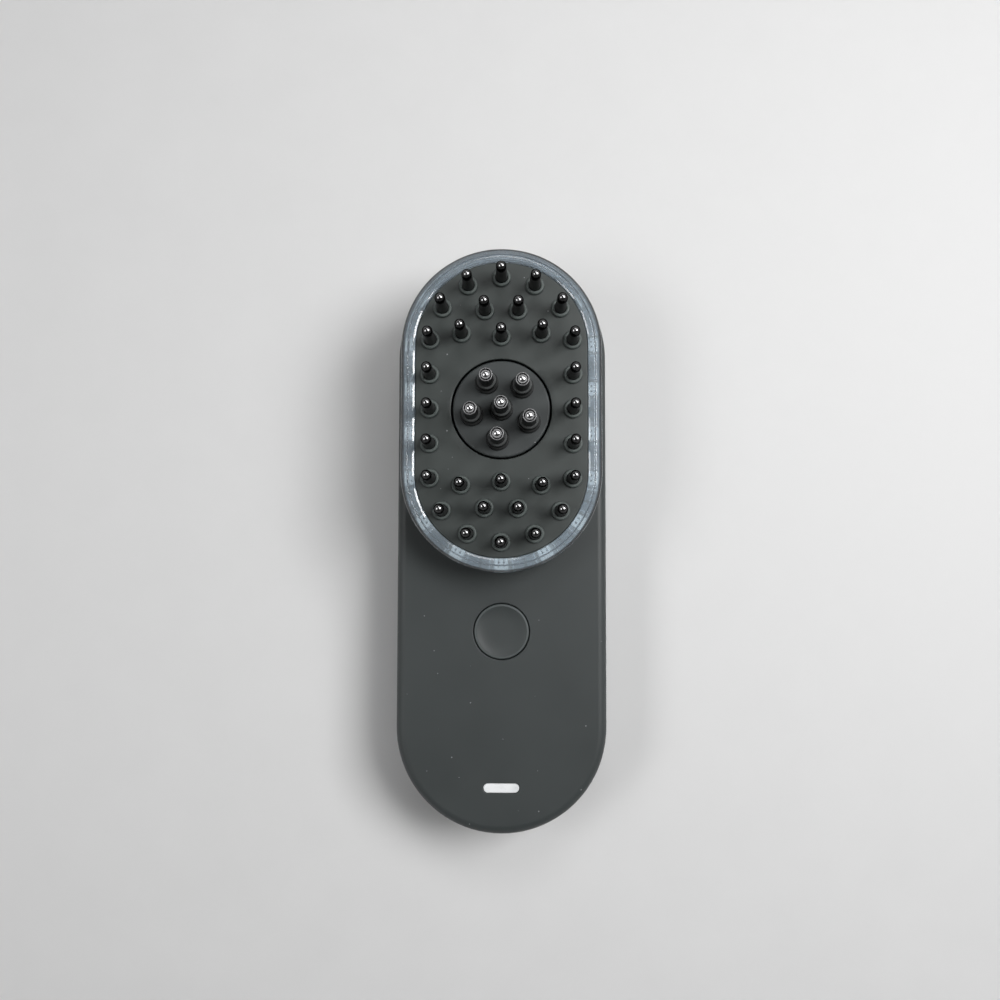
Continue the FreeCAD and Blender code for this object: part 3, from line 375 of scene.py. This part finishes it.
def shade(colour, gain):
    """A colour made lighter or darker, with its alpha."""
    return tuple(min(1.0, part * gain) for part in colour[:3]) + (1.0,)


def coated(tree, shader, base, gloss, height, depth):
    """Give a shader its base colour, its roughness and a bump of some depth."""
    bump = add_node(tree, "ShaderNodeBump", {"Height": height, "Distance": depth})
    tree.links.new(base, shader.inputs["Base Color"])
    tree.links.new(gloss, shader.inputs["Roughness"])
    tree.links.new(bump.outputs["Normal"], shader.inputs["Normal"])


def moulded(tree, shader, colour, rough, grain=5000.0, depth=4e-6, patch=60.0, tone=0.1, dust=0.0):
    """Grain as bump, slow changes of tone and roughness, and a little dust where asked."""
    surface = add_node(tree, "ShaderNodeGroup", {"Scale": grain, "Patch": patch},
                       node_tree=grain_group()).outputs
    base = mixed(tree, surface["Tone"], shade(colour, 1 - tone), shade(colour, 1 + tone))
    if dust:
        specks = add_node(tree, "ShaderNodeGroup", {"Share": dust}, node_tree=dust_group())
        base = mixed(tree, specks.outputs["Mask"], base, DUST_COLOUR)
    gloss = ranged(tree, surface["Tone"], 0.0, 1.0, rough)
    coated(tree, shader, base, gloss, surface["Height"], depth)


def faded(tree, shader, value, colour, low, high):
    """Fade the base colour to another one as a value goes from low to high."""
    under = shader.inputs["Base Color"].links[0].from_socket
    base = mixed(tree, ranged(tree, value, low, high), under, colour)
    tree.links.new(base, shader.inputs["Base Color"])


def crowned(tree, shader, colour, low, high):
    """Fade the base colour to another one between two heights."""
    faded(tree, shader, along(tree, "Z"), colour, low, high)


def banded(tree, shader, value, middle, half, soft, colour):
    """Change the base colour where a value is within half a band of its middle. Soft is the share of the
    half at which the change is full."""
    away = reckon(tree, "ABSOLUTE", reckon(tree, "SUBTRACT", value, middle))
    faded(tree, shader, away, colour, half, soft * half)


def seamed(tree, shader, level, half):
    """Darken the parting line, the band within half a line's width of one height."""
    banded(tree, shader, along(tree, "Z"), level, half, 0.6, SEAM_COLOUR)


def painted_rim_highlight(tree, shader, centre, radius, half, colour):
    """Paint a highlight on a round rim: another colour in the band near one radius about an upright axis."""
    flat = add_node(tree, "ShaderNodeVectorMath", {0: placed(tree), 1: (1.0, 1.0, 0.0)}, operation="MULTIPLY")
    reach = add_node(tree, "ShaderNodeVectorMath", {0: flat.outputs["Vector"], 1: centre + (0.0,)},
                     operation="DISTANCE")
    banded(tree, shader, reach.outputs["Value"], radius, half, 0.4, colour)


def edged(tree, shader, colour, start, stop):
    """Fade the base colour to another one towards the outer edge of the head."""
    centre, radius, run = head_frame()
    reach = add_node(tree, "ShaderNodeGroup", {"Middle": centre[1], "Run": run}, node_tree=stadium_group())
    faded(tree, shader, reach.outputs["Distance"], colour, radius - start, radius - stop)


def polished(tree, shader, colour, rough, scale=900.0, depth=1.5e-7, worn=0.88):
    """Bright metal: fine scratches as bump, a little darker and rougher along them."""
    marks = add_node(tree, "ShaderNodeGroup", {"Scale": scale}, node_tree=scratch_group()).outputs
    base = mixed(tree, marks["Mask"], shade(colour, 1.0), shade(colour, worn))
    gloss = ranged(tree, marks["Mask"], 0.0, 1.0, rough)
    fixed(shader, {"Metallic": 1.0})
    coated(tree, shader, base, gloss, marks["Height"], depth)


def clear(tree, shader, colour, rough, through=1.0, ior=1.49):
    """Clear or milky plastic: light goes through, and roughness and a faint waviness change slowly."""
    moulded(tree, shader, colour, rough, grain=260.0, depth=2e-6, patch=120.0, tone=0.03)
    fixed(shader, {"Transmission Weight": through, "IOR": ior})


def lit_lens(tree, shader, colour):
    """Milky lens over the status light: it glows, and the glow fades towards its right end as painted shade.
    """
    moulded(tree, shader, colour, (0.22, 0.34), grain=3000.0, depth=1e-6, patch=300.0, tone=0.03)
    painted_end_shade = ranged(tree, along(tree, "X"), 1.2 * MM, 4.6 * MM, (1.0, 0.1), interpolation_type="SMOOTHSTEP")
    glow = mixed(tree, painted_end_shade, (0.05, 0.05, 0.05, 1.0), (1.0, 1.0, 1.0, 1.0))
    tree.links.new(glow, shader.inputs["Emission Color"])
    fixed(shader, {"Emission Strength": 0.14})


def board_traces(tree, shader, colour, trace):
    """Circuit board: mask colour with thin tracks of another from a bent band pattern."""
    moulded(tree, shader, colour, (0.35, 0.5), grain=2500.0, depth=3e-6)
    bands = add_node(tree, "ShaderNodeTexWave", {
        "Vector": placed(tree), "Scale": 180.0, "Distortion": 6.0, "Detail": 1.0}, bands_direction="DIAGONAL")
    track = reckon(tree, "GREATER_THAN", bands.outputs["Fac"], 0.86)
    faded(tree, shader, track, trace, 0.0, 1.0)


def paint(slot, tree, shader):
    """Build the finish of one material slot."""
    colours = bpy.context.scene.brush_colours
    recorded = {row["slot"]: row["base_color"] for row in frame["record"]["materials"]}
    if slot == "soft_touch_charcoal":
        moulded(tree, shader, colours.soft_touch, (0.46, 0.56), grain=5200.0, depth=5e-6, tone=0.05,
                dust=0.9)
        seamed(tree, shader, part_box("front_cover")[0].z, 0.14 * MM)
        # The lighter band round the power button's rim is a painted highlight.
        low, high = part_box("power_button")
        rim = (high.x - low.x) / 2 - 1.5 * MM
        painted_rim_highlight(tree, shader, (0.0, (low.y + high.y) / 2), rim, 0.34 * MM, shade(colours.soft_touch, 1.9))
    elif slot == "panel_silicone":
        moulded(tree, shader, colours.silicone, (0.4, 0.5), grain=4200.0, depth=4e-6, tone=0.07, dust=0.6)
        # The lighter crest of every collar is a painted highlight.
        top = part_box("pin_panel")[1].z
        crowned(tree, shader, shade(colours.silicone, 2.05), top - 0.75 * MM, top - 0.3 * MM)
    elif slot == "pin_plastic":
        moulded(tree, shader, colours.stem, (0.42, 0.55), grain=3600.0, depth=6e-6, patch=300.0)
    elif slot == "inner_plastic":
        moulded(tree, shader, colours.socket, (0.34, 0.42), grain=3600.0, depth=3e-6, patch=300.0)
        fixed(shader, {"Specular IOR Level": 0.2})
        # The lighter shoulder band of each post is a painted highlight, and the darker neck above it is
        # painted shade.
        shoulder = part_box("applicator_cap")[1].z + 4.5 * MM
        crowned(tree, shader, shade(colours.socket, 4.0), shoulder - 1.5 * MM, shoulder - 1.2 * MM)
        crowned(tree, shader, shade(colours.socket, 0.5), shoulder, shoulder + 0.2 * MM)
    elif slot == "black_chrome":
        polished(tree, shader, shade(colours.tip, 0.13), (0.15, 0.2), depth=5e-8)
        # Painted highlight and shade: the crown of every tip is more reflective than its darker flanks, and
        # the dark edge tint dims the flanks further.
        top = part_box("pin_tips")[1].z
        crowned(tree, shader, shade(colours.tip, 1.0), top - 0.32 * MM, top - 0.12 * MM)
        fixed(shader, {"Specular Tint": (0.2, 0.2, 0.2, 1.0)})
    elif slot == "polished_steel":
        polished(tree, shader, shade(recorded[slot], 0.85), (0.2, 0.26), depth=2e-8)
    elif slot == "steel":
        polished(tree, shader, shade(recorded[slot], 0.46), (0.45, 0.58), scale=2500.0, depth=4e-7)
    elif slot == "clear_plastic":
        clear(tree, shader, colours.ring, (0.1, 0.16), through=0.74, ior=1.58)
        edged(tree, shader, RING_EDGE_COLOUR, 0.75 * MM, 0.4 * MM)
        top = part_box("light_ring")[1].z
        crowned(tree, shader, shade(colours.ring, 1.0), top - 0.9 * MM, top - 1.3 * MM)
        fixed(shader, {"Coat Weight": 0.5, "Coat Roughness": 0.1, "Coat IOR": 1.65})
    elif slot == "bottle_clear":
        clear(tree, shader, recorded[slot], (0.3, 0.42), ior=1.45)
    elif slot == "white_lens":
        lit_lens(tree, shader, colours.lens)
    elif slot == "circuit_board":
        board_traces(tree, shader, recorded[slot], GREEN_TRACKS)
    elif slot == "white_board":
        board_traces(tree, shader, recorded[slot], PALE_TRACKS)
    elif slot == "light_white":
        moulded(tree, shader, recorded[slot], (0.3, 0.4), grain=3000.0, depth=2e-6, tone=0.04)
        fixed(shader, {"Emission Color": (1.0, 1.0, 0.97, 1.0), "Emission Strength": 0.55})
    elif slot == "foam":
        moulded(tree, shader, recorded[slot], (0.85, 0.95), grain=1400.0, depth=6e-5, tone=0.3)
    elif slot == "cell_wrap":
        moulded(tree, shader, recorded[slot], (0.28, 0.4), grain=160.0, depth=5e-5, tone=0.1)
    elif slot in ("seal_rubber", "chip_black"):
        moulded(tree, shader, recorded[slot], (0.6, 0.72), grain=3000.0, depth=5e-6, tone=0.15)
    else:
        moulded(tree, shader, recorded[slot], (0.34, 0.46), grain=3200.0, depth=3e-6, tone=0.08)


def finish(slot):
    """The material of a slot, built the first time it is asked for."""
    name = "brush_" + slot
    material = bpy.data.materials.get(name)
    if material:
        return material
    material = bpy.data.materials.new(name)
    material.use_nodes = True
    shader = material.node_tree.nodes["Principled BSDF"]
    paint(slot, material.node_tree, shader)
    return material


def head_frame():
    """Middle of the head, the ring's radius and half the length of its straight sides, from its box."""
    low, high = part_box("light_ring")
    radius = (high.x - low.x) / 2
    return np.array([0.0, (low.y + high.y) / 2]), radius, (high.y - low.y) / 2 - radius


def even_row(radius, run, count, start=0.0):
    """Places and outward angles spread evenly round a stadium. Path length s counts from the right middle:
    a straight side while s is under 2 run, then an arc of angle (s - 2 run) / r, then the same turned
    half round."""
    half = 2 * run + math.pi * radius
    side, rest = np.divmod(run + 2 * half * (np.arange(count) + start) / count, half)
    side = side % 2
    angle = np.maximum(rest - 2 * run, 0.0) / radius
    along = np.minimum(rest, 2 * run) - run
    places = np.stack([radius * np.cos(angle), along + radius * np.sin(angle)], axis=1)
    return places * (1 - 2 * side)[:, None], angle + math.pi * side


def pin_places(sizes):
    """Places of all pins: the outer row, and five inner ones mirrored to both ends of the head."""
    middle = head_frame()[0]
    row = even_row(sizes.row_radius, sizes.row_run, sizes.row_count)[0]
    inner = np.array([(0.0, 17.3), (9.5, 18.1), (-9.5, 18.1), (3.95, 23.6), (-3.95, 23.6)]) * MM
    return middle + np.concatenate([row, inner, -inner])


def lifted(places, height):
    """Places in the plan set at one height."""
    return np.column_stack([places, np.full(len(places), height)])


def panel_sheet(centre, run, outer, hole, low, high, edge, bends=6, crossings=8):
    """Sheet between a stadium and a round hole: a point is (1-t) S + t C, where S is the stadium point at
    radius outer - d and C the point of the hole's circle at radius hole + d in the same direction. The rows
    (t, d, z) climb the outer wall, round its edge, cross the top and go down the wall of the hole."""
    angle, middle = stadium_path(run, 96, 40)
    turn = np.linspace(0.0, math.pi / 2, bends)
    bend_in, bend_up = edge * (1 - np.cos(turn)), high - edge + edge * np.sin(turn)
    across = np.linspace(0.0, 1.0, crossings + 2)[1:-1]
    t = np.concatenate([np.zeros(bends + 1), across, np.ones(bends + 1)])[:, None]
    d = np.concatenate([[0.0], bend_in, np.full(crossings, edge), bend_in[::-1], [0.0]])[:, None]
    z = np.concatenate([[low], bend_up, np.full(crossings, high), bend_up[::-1], [low]])[:, None]
    reach = outer - d
    stadium = np.stack([reach * np.cos(angle), middle + reach * np.sin(angle)], axis=-1)
    way = np.arctan2(middle + outer * np.sin(angle), outer * np.cos(angle))
    circle = (hole + d)[..., None] * np.stack([np.cos(way), np.sin(way)], axis=-1)[None]
    plan = (1 - t)[..., None] * stadium + t[..., None] * circle + centre
    return np.concatenate([plan, np.broadcast_to(z[..., None], plan.shape[:2] + (1,))], axis=-1)


def blocks(places, angle, halves, levels, hollow=0.0, square=0.35):
    """Small blocks turned to their angles: the outline is the rounded square x = a sgn(cos t) |cos t|^q,
    y = b sgn(sin t) |sin t|^q with q = square, carried up the wall, over the rim and into a hollow."""
    turn = np.linspace(0.0, 2 * math.pi, 32, endpoint=False)
    wide = np.sign(np.cos(turn)) * np.abs(np.cos(turn)) ** square
    tall = np.sign(np.sin(turn)) * np.abs(np.sin(turn)) ** square
    low, high = levels
    share = np.array([0.0, 1.0, 1.0, 0.95, 0.82, 0.76, 0.0])[:, None]
    level = np.array([low, low, high - 0.05 * MM, high, high, high - hollow, high - hollow])
    across, ahead = share * wide * halves[0], share * tall * halves[1]
    cos, sin = np.cos(angle)[:, None, None], np.sin(angle)[:, None, None]
    x = places[:, 0][:, None, None] + across * cos - ahead * sin
    y = places[:, 1][:, None, None] + across * sin + ahead * cos
    return np.stack([x, y, np.broadcast_to(level[None, :, None], x.shape)], axis=-1)


class BRUSH_OT_panel(bpy.types.Operator):
    """Make the soft panel with a raised collar round every pin"""
    bl_idname = "brush.make_panel"
    bl_label = "Massage Panel"

    def execute(self, context):
        sizes = context.scene.brush_sizes
        centre, _, run = head_frame()
        low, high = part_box("pin_panel")
        outer = (high.x - low.x) / 2
        top = high.z - sizes.collar_height
        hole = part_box("applicator_cap")[1].x + 0.4 * MM
        sheet = panel_sheet(centre, run, outer, hole, low.z, top, 0.25 * MM)
        crest = (sizes.collar_radius + sizes.collar_bore) / 2
        half = (sizes.collar_radius - sizes.collar_bore) / 2
        sunk = -0.2 * MM
        turn = np.linspace(0.0, math.pi, 21)
        bulge = np.abs(np.sin(turn))
        steep_inside, sloped_outside = 0.86 + 0.14 * bulge ** 0.5, 0.2 + 0.8 * bulge ** 0.7
        rise = np.where(turn > math.pi / 2, steep_inside, sloped_outside)
        bead = np.stack([crest + half * np.cos(turn), sizes.collar_height * rise], axis=1)
        foot = np.array([(sizes.collar_bore, sunk), (sizes.collar_radius, sunk)])
        collars = spin(np.concatenate([foot, bead]), lifted(pin_places(sizes), top), 44)
        make_piece("silicone_panel", [shell(sheet), shell(collars)], "case", "panel_silicone",
                   ["pin_panel"])
        return {"FINISHED"}


class BRUSH_OT_pins(bpy.types.Operator):
    """Make the tapered stems and polished tips of the pins"""
    bl_idname = "brush.make_pins"
    bl_label = "Pins"

    def execute(self, context):
        sizes = context.scene.brush_sizes
        places = lifted(pin_places(sizes), 0.0)
        low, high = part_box("pin_stems")[0].z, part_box("pin_tips")[1].z
        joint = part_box("pin_tips")[0].z
        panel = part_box("pin_panel")[1].z - sizes.collar_height
        root, top, tip = sizes.stem_root, sizes.stem_top, sizes.tip_radius
        skirt, skirt_half = sizes.collar_bore - 0.01 * MM, 0.1 * MM
        neck, ease = 0.05 * MM, 0.03 * MM
        stem = rounded_profile([
            (0.0, low, 0.0), (root, low, 0.0), (root, panel - skirt_half, 0.0),
            (skirt, panel - skirt_half, 0.0), (skirt, panel + skirt_half, ease),
            (root, panel + skirt_half, ease), (top, joint - neck, ease), (top - neck, joint, 0.0),
            (0.0, joint, 0.0)])
        make_piece("pin_shafts", [shell(spin(stem, places, 32), closed=False)], "case", "pin_plastic",
                   ["pin_stems"])
        turn = np.linspace(0.0, math.pi / 2, 14)
        dome = np.stack([tip * np.cos(turn), high - tip + tip * np.sin(turn)], axis=1)
        dome[-1, 0] = 0.0
        foot = [(0.0, joint), (tip - 0.08 * MM, joint), (tip, joint + 0.1 * MM)]
        bead = np.concatenate([foot, dome])
        make_piece("pin_beads", [shell(spin(bead, places, 40), closed=False)], "case", "black_chrome",
                   ["pin_tips"])
        return {"FINISHED"}


class BRUSH_OT_light_ring(bpy.types.Operator):
    """Make the clear ring round the panel and the small lights under it"""
    bl_idname = "brush.make_light_ring"
    bl_label = "Light Ring"

    def execute(self, context):
        centre, radius, run = head_frame()
        low, high = (corner.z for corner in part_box("light_ring"))
        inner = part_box("pin_panel")[1].x + 0.05 * MM
        groove = inner + 1.62 * MM
        profile = rounded_profile([
            (radius, low, 0.12 * MM),
            (radius, high - 1.0 * MM, 0.3 * MM),
            (radius - 0.45 * MM, high - 0.56 * MM, 0.25 * MM),
            (radius - 1.45 * MM, high - 0.05 * MM, 0.15 * MM),
            (groove + 0.16 * MM, high, 0.05 * MM),
            (groove, high - 0.24 * MM, 0.04 * MM),
            (groove - 0.16 * MM, high - 0.04 * MM, 0.05 * MM),
            (inner + 0.55 * MM, high, 0.12 * MM),
            (inner, high - 0.22 * MM, 0.12 * MM),
            (inner, low, 0.12 * MM)], steps=7)
        ring = sweep(profile, *stadium_path(run, 120, 40), centre)
        make_piece("clear_ring", [shell(ring)], "case", "clear_plastic", ["light_ring"])
        base, top = (corner.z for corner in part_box("ring_lights"))
        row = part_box("ring_lights")[1].y - centre[1] - run - 0.6 * MM
        places, angle = even_row(row, run, 18, start=4.5)
        hollow = 0.12 * MM
        lamps = blocks(places + centre, angle, (0.6 * MM, 1.6 * MM), (base, top), hollow=hollow)
        make_piece("ring_lamps", [shell(lamps, closed=False)], "case", "light_white", ["ring_lights"])
        way = np.stack([-np.sin(angle), np.cos(angle)], axis=1)
        both = np.concatenate([way, -way])
        twice = np.concatenate([places, places]) + centre
        # The small bars beside each light are printed marks given the lights' glowing finish, so their glow
        # is painted light.
        bars = blocks(twice + both * 2.7 * MM, np.concatenate([angle, angle]), (0.6 * MM, 0.07 * MM),
                      (base - 0.02 * MM, base + 0.12 * MM))
        make_piece("board_marks_painted_glow", [shell(bars, closed=False)], "case", "light_white", [])
        die = np.array([(0.0, -0.1), (0.24, -0.1), (0.24, 0.0), (0.2, 0.05), (0.0, 0.06)]) * MM
        dies = spin(die, lifted(twice + both * 0.62 * MM, top - hollow), 16)
        make_piece("lamp_dies", [shell(dies, closed=False)], "case", "steel", [])
        return {"FINISHED"}


class BRUSH_OT_button(bpy.types.Operator):
    """Make the dished power button"""
    bl_idname = "brush.make_button"
    bl_label = "Power Button"

    def execute(self, context):
        low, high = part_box("power_button")
        centre = [(0.0, (low.y + high.y) / 2, 0.0)]
        flange = (high.x - low.x) / 2
        radius = flange - 1.2 * MM
        top, under = high.z, high.z - 2.4 * MM
        shelf, ease = under - 1.2 * MM, 0.2 * MM
        side = rounded_profile([
            (0.0, low.z, 0.0), (radius, low.z, ease), (radius, shelf, 0.0), (flange, shelf, ease),
            (flange, under, ease), (radius, under, 0.0), (radius, top, 0.4 * MM),
            (radius - 0.75 * MM, top, 0.0), (0.0, top, 0.0)])[:-2]
        reach = np.linspace(1.0, 0.0, 24)
        sag = context.scene.brush_sizes.dish_depth * (1 - reach ** 4)
        dish = np.stack([reach * (radius - 0.6 * MM), top - sag], axis=1)
        profile = np.concatenate([side, dish])
        make_piece("dished_button", [shell(spin(profile, centre, 96), closed=False)], "button",
                   "soft_touch_charcoal", ["power_button"])
        return {"FINISHED"}


class BRUSH_OT_lens(bpy.types.Operator):
    """Make the milky pill over the status light"""
    bl_idname = "brush.make_lens"
    bl_label = "Status Lens"

    def execute(self, context):
        low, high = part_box("status_lens")
        flange = (high.y - low.y) / 2
        radius = flange - 1.0 * MM
        run = (high.x - low.x) / 2 - flange
        step, ease = high.z - 2.0 * MM, 0.15 * MM
        profile = rounded_profile([
            (0.0, low.z, 0.0), (flange, low.z, ease), (flange, step, ease), (radius, step, 0.0),
            (radius, high.z, 0.35 * MM), (0.0, high.z, 0.0)], steps=8)
        x, y, z = np.moveaxis(sweep(profile, *stadium_path(run, 32, 16), (0.0, 0.0)), -1, 0)
        turned = np.stack([-y, x + (low.y + high.y) / 2, z], axis=-1)
        make_piece("status_pill", [shell(turned, closed=False)], "case", "white_lens", ["status_lens"])
        return {"FINISHED"}


class BRUSH_OT_disc(bpy.types.Operator):
    """Make the round cap that the balls stand on"""
    bl_idname = "brush.make_disc"
    bl_label = "Applicator Disc"

    def execute(self, context):
        low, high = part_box("applicator_cap")
        radius = (high.x - low.x) / 2
        spigot, bore, under = radius - 1.65 * MM, radius - 2.85 * MM, high.z - 2.6 * MM
        ease = 0.1 * MM
        profile = rounded_profile([
            (0.0, under, 0.0), (bore, under, 0.0), (bore, low.z, ease), (spigot, low.z, ease),
            (spigot, under, 0.0), (radius, under, ease), (radius, high.z, 0.5 * MM),
            (0.0, high.z, 0.0)], steps=8)
        centre = [(0.0, (low.y + high.y) / 2, 0.0)]
        make_piece("round_disc", [shell(spin(profile, centre, 128), closed=False)], "applicator",
                   "soft_touch_charcoal", ["applicator_cap"])
        return {"FINISHED"}


class BRUSH_OT_sockets(bpy.types.Operator):
    """Make the posts that hold the balls, with their bright rims"""
    bl_idname = "brush.make_sockets"
    bl_label = "Ball Sockets"

    def execute(self, context):
        sizes = context.scene.brush_sizes
        angle = sizes.ball_clock + np.arange(5) * 2 * math.pi / 5
        outer = sizes.ball_circle * np.stack([np.cos(angle), np.sin(angle)], axis=1)
        places = head_frame()[0] + np.concatenate([[(0.0, 0.0)], outer])
        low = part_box("ball_sockets")[0].z
        centres = lifted(places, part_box("applicator_cap")[1].z)
        bottom = (low - centres[0, 2]) / MM
        post = rounded_profile(np.array([
            (1.05, bottom, 0.0), (1.05, 0.0, 0.0), (2.78, 0.0, 0.0), (2.78, 0.8, 0.25), (2.2, 0.8, 0.05),
            (1.95, 1.3, 0.2), (1.95, 3.2, 0.2), (2.3, 3.6, 0.1), (2.3, 4.4, 0.3), (1.75, 4.4, 0.1),
            (1.55, 9.6, 0.2), (1.55, 10.9, 0.05), (1.28, 10.9, 0.05), (1.36, 10.6, 0.0), (1.36, 9.4, 0.0),
            (0.7, 8.9, 0.0), (0.7, bottom, 0.0)]) * MM)
        make_piece("ball_posts", [shell(spin(post, centres, 48))], "applicator", "inner_plastic",
                   ["ball_sockets"])
        rim = rounded_profile(np.array([
            (1.57, 10.35, 0.0), (1.57, 10.94, 0.12), (1.32, 10.94, 0.08), (1.36, 10.7, 0.0),
            (1.47, 10.35, 0.0)]) * MM)
        make_piece("socket_rims", [shell(spin(rim, centres, 48))], "applicator", "steel", [])
        return {"FINISHED"}


class BRUSH_OT_finishes(bpy.types.Operator):
    """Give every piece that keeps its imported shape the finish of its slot"""
    bl_idname = "brush.set_finishes"
    bl_label = "Finishes"

    def execute(self, context):
        for row in frame["record"]["subparts"]:
            frame["nodes"][row["node"]].material_slots[0].material = finish(row["material_slot"])
        return {"FINISHED"}


def sight(tree):
    """One for rays of the eye, mirrors and glass, and nought for soft light."""
    path = add_node(tree, "ShaderNodeLightPath").outputs
    mirror = reckon(tree, "ADD", path["Is Camera Ray"], path["Is Glossy Ray"])
    return reckon(tree, "ADD", mirror, path["Is Transmission Ray"], use_clamp=True)


def hazed(tree, share, under, over):
    """Mix two greys by a share that only sight rays get."""
    seen = reckon(tree, "MULTIPLY", share, sight(tree))
    return mixed(tree, seen, (under,) * 3 + (1.0,), (over,) * 3 + (1.0,))


def pale_sky(level, horizon):
    """World of one low level, with a pale horizon for sight rays that sinks back to it higher up."""
    world = bpy.data.worlds.new("pale_sky")
    world.use_nodes = True
    tree = world.node_tree
    way = add_node(tree, "ShaderNodeTexCoord").outputs["Generated"]
    height = add_node(tree, "ShaderNodeSeparateXYZ", {"Vector": way}).outputs["Z"]
    near = ranged(tree, height, 0.12, 0.58, (1.0, 0.0), interpolation_type="SMOOTHSTEP")
    tree.links.new(hazed(tree, near, level, horizon), tree.nodes["Background"].inputs["Color"])
    return world


def pale_floor(colour, horizon):
    """Floor finish that fades far out into the pale horizon."""
    ground = bpy.data.materials.new("stage_floor")
    ground.use_nodes = True
    tree = ground.node_tree
    shader = tree.nodes["Principled BSDF"]
    moulded(tree, shader, colour, (0.6, 0.7), grain=900.0, depth=2e-6, tone=0.01)
    reach = add_node(tree, "ShaderNodeVectorMath", {0: placed(tree)}, operation="LENGTH").outputs["Value"]
    faded(tree, shader, reach, (0.0, 0.0, 0.0, 1.0), HAZE_NEAR, HAZE_FAR)
    haze = ranged(tree, reach, HAZE_NEAR, HAZE_FAR)
    tree.links.new(hazed(tree, haze, 0.0, horizon), shader.inputs["Emission Color"])
    fixed(shader, {"Emission Strength": 1.0})
    return ground


def add_lamp(name, way, power, length, width):
    """Rectangular lamp that shines on the brush from one direction."""
    light = bpy.data.lights.new(name, "AREA")
    light.shape = "RECTANGLE"
    light.size, light.size_y = length, width
    light.energy = power
    lamp = bpy.data.objects.new(name, light)
    toward = Vector(way).normalized()
    lamp.location = Vector(LAMP_TARGET) + toward * LAMP_DISTANCE
    lamp.rotation_euler = toward.to_track_quat("Z", "Y").to_euler()
    bpy.context.scene.collection.objects.link(lamp)


def add_camera():
    """Camera above the brush, looking down with a slight tilt, pan and roll."""
    ahead = Vector((math.tan(CAMERA_PAN), math.sin(CAMERA_TILT), -math.cos(CAMERA_TILT))).normalized()
    right = ahead.cross(Vector((0.0, math.cos(CAMERA_TILT), math.sin(CAMERA_TILT)))).normalized()
    up = right.cross(ahead)
    level = math.cos(CAMERA_ROLL) * right + math.sin(CAMERA_ROLL) * up
    upright = math.cos(CAMERA_ROLL) * up - math.sin(CAMERA_ROLL) * right
    lens = bpy.data.cameras.new("camera")
    lens.lens, lens.sensor_width = 34.74, 36.0
    lens.clip_start = 0.01
    camera = bpy.data.objects.new("camera", lens)
    turned = Matrix((level, upright, -ahead)).transposed().to_4x4()
    camera.matrix_world = Matrix.Translation(CAMERA_PLACE) @ turned
    bpy.context.scene.collection.objects.link(camera)
    return camera


class BRUSH_OT_stage(bpy.types.Operator):
    """Set a pale floor, three soft lamps, a pale sky and the camera above the brush"""
    bl_idname = "brush.set_stage"
    bl_label = "Stage"

    def execute(self, context):
        scene = context.scene
        corner = np.array([(-1.0, -1.0), (1.0, -1.0), (1.0, 1.0), (-1.0, 1.0)]) * FLOOR_HALF
        mesh = bpy.data.meshes.new("floor")
        mesh.from_pydata(lifted(corner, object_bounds()[0].z - FLOOR_DROP), [], [(0, 1, 2, 3)])
        mesh.materials.append(pale_floor(scene.brush_colours.floor, HORIZON_LEVEL))
        floor = bpy.data.objects.new("floor", mesh)
        scene.collection.objects.link(floor)
        floor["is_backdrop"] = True
        add_lamp("lamp_far", (0.09, 0.605, 0.79), 0.5, 0.26, 0.16)
        add_lamp("lamp_left", (-0.6, -0.03, 0.8), 0.85, 0.3, 0.18)
        add_lamp("lamp_right", (0.54, 0.2, 0.82), 2.85, 0.3, 0.28)
        scene.world = pale_sky(SKY_LEVEL, HORIZON_LEVEL)
        scene.camera = add_camera()
        scene.view_settings.view_transform = "Standard"
        return {"FINISHED"}


OPERATORS = (BRUSH_OT_panel, BRUSH_OT_pins, BRUSH_OT_light_ring, BRUSH_OT_button, BRUSH_OT_lens,
             BRUSH_OT_disc, BRUSH_OT_sockets, BRUSH_OT_finishes, BRUSH_OT_stage)


class BRUSH_PT_panel(bpy.types.Panel):
    """Sizes, colours and the steps that make the brush"""
    bl_idname = "BRUSH_PT_panel"
    bl_label = "Massage Brush"
    bl_space_type = "VIEW_3D"
    bl_region_type = "UI"
    bl_category = "Brush"

    def draw(self, context):
        for group in (context.scene.brush_sizes, context.scene.brush_colours):
            box = self.layout.box()
            for name in type(group).__annotations__:
                box.prop(group, name)
        for kind in OPERATORS:
            self.layout.operator(kind.bl_idname)


CLASSES = (BrushSizes, BrushColours) + OPERATORS + (BRUSH_PT_panel,)


def register():
    """Make the classes known and hang the settings on the scene."""
    for kind in CLASSES:
        bpy.utils.register_class(kind)
    bpy.types.Scene.brush_sizes = PointerProperty(type=BrushSizes)
    bpy.types.Scene.brush_colours = PointerProperty(type=BrushColours)


def unregister():
    """Take the settings and classes away again."""
    del bpy.types.Scene.brush_colours
    del bpy.types.Scene.brush_sizes
    for kind in reversed(CLASSES):
        bpy.utils.unregister_class(kind)


def main():
    """Make every piece in order."""
    register()
    bpy.ops.brush.make_panel()
    bpy.ops.brush.make_pins()
    bpy.ops.brush.make_light_ring()
    bpy.ops.brush.make_button()
    bpy.ops.brush.make_lens()
    bpy.ops.brush.make_disc()
    bpy.ops.brush.make_sockets()
    bpy.ops.brush.set_finishes()
    bpy.ops.brush.set_stage()
    bpy.context.view_layer.update()


if __name__ == "__main__":
    main()
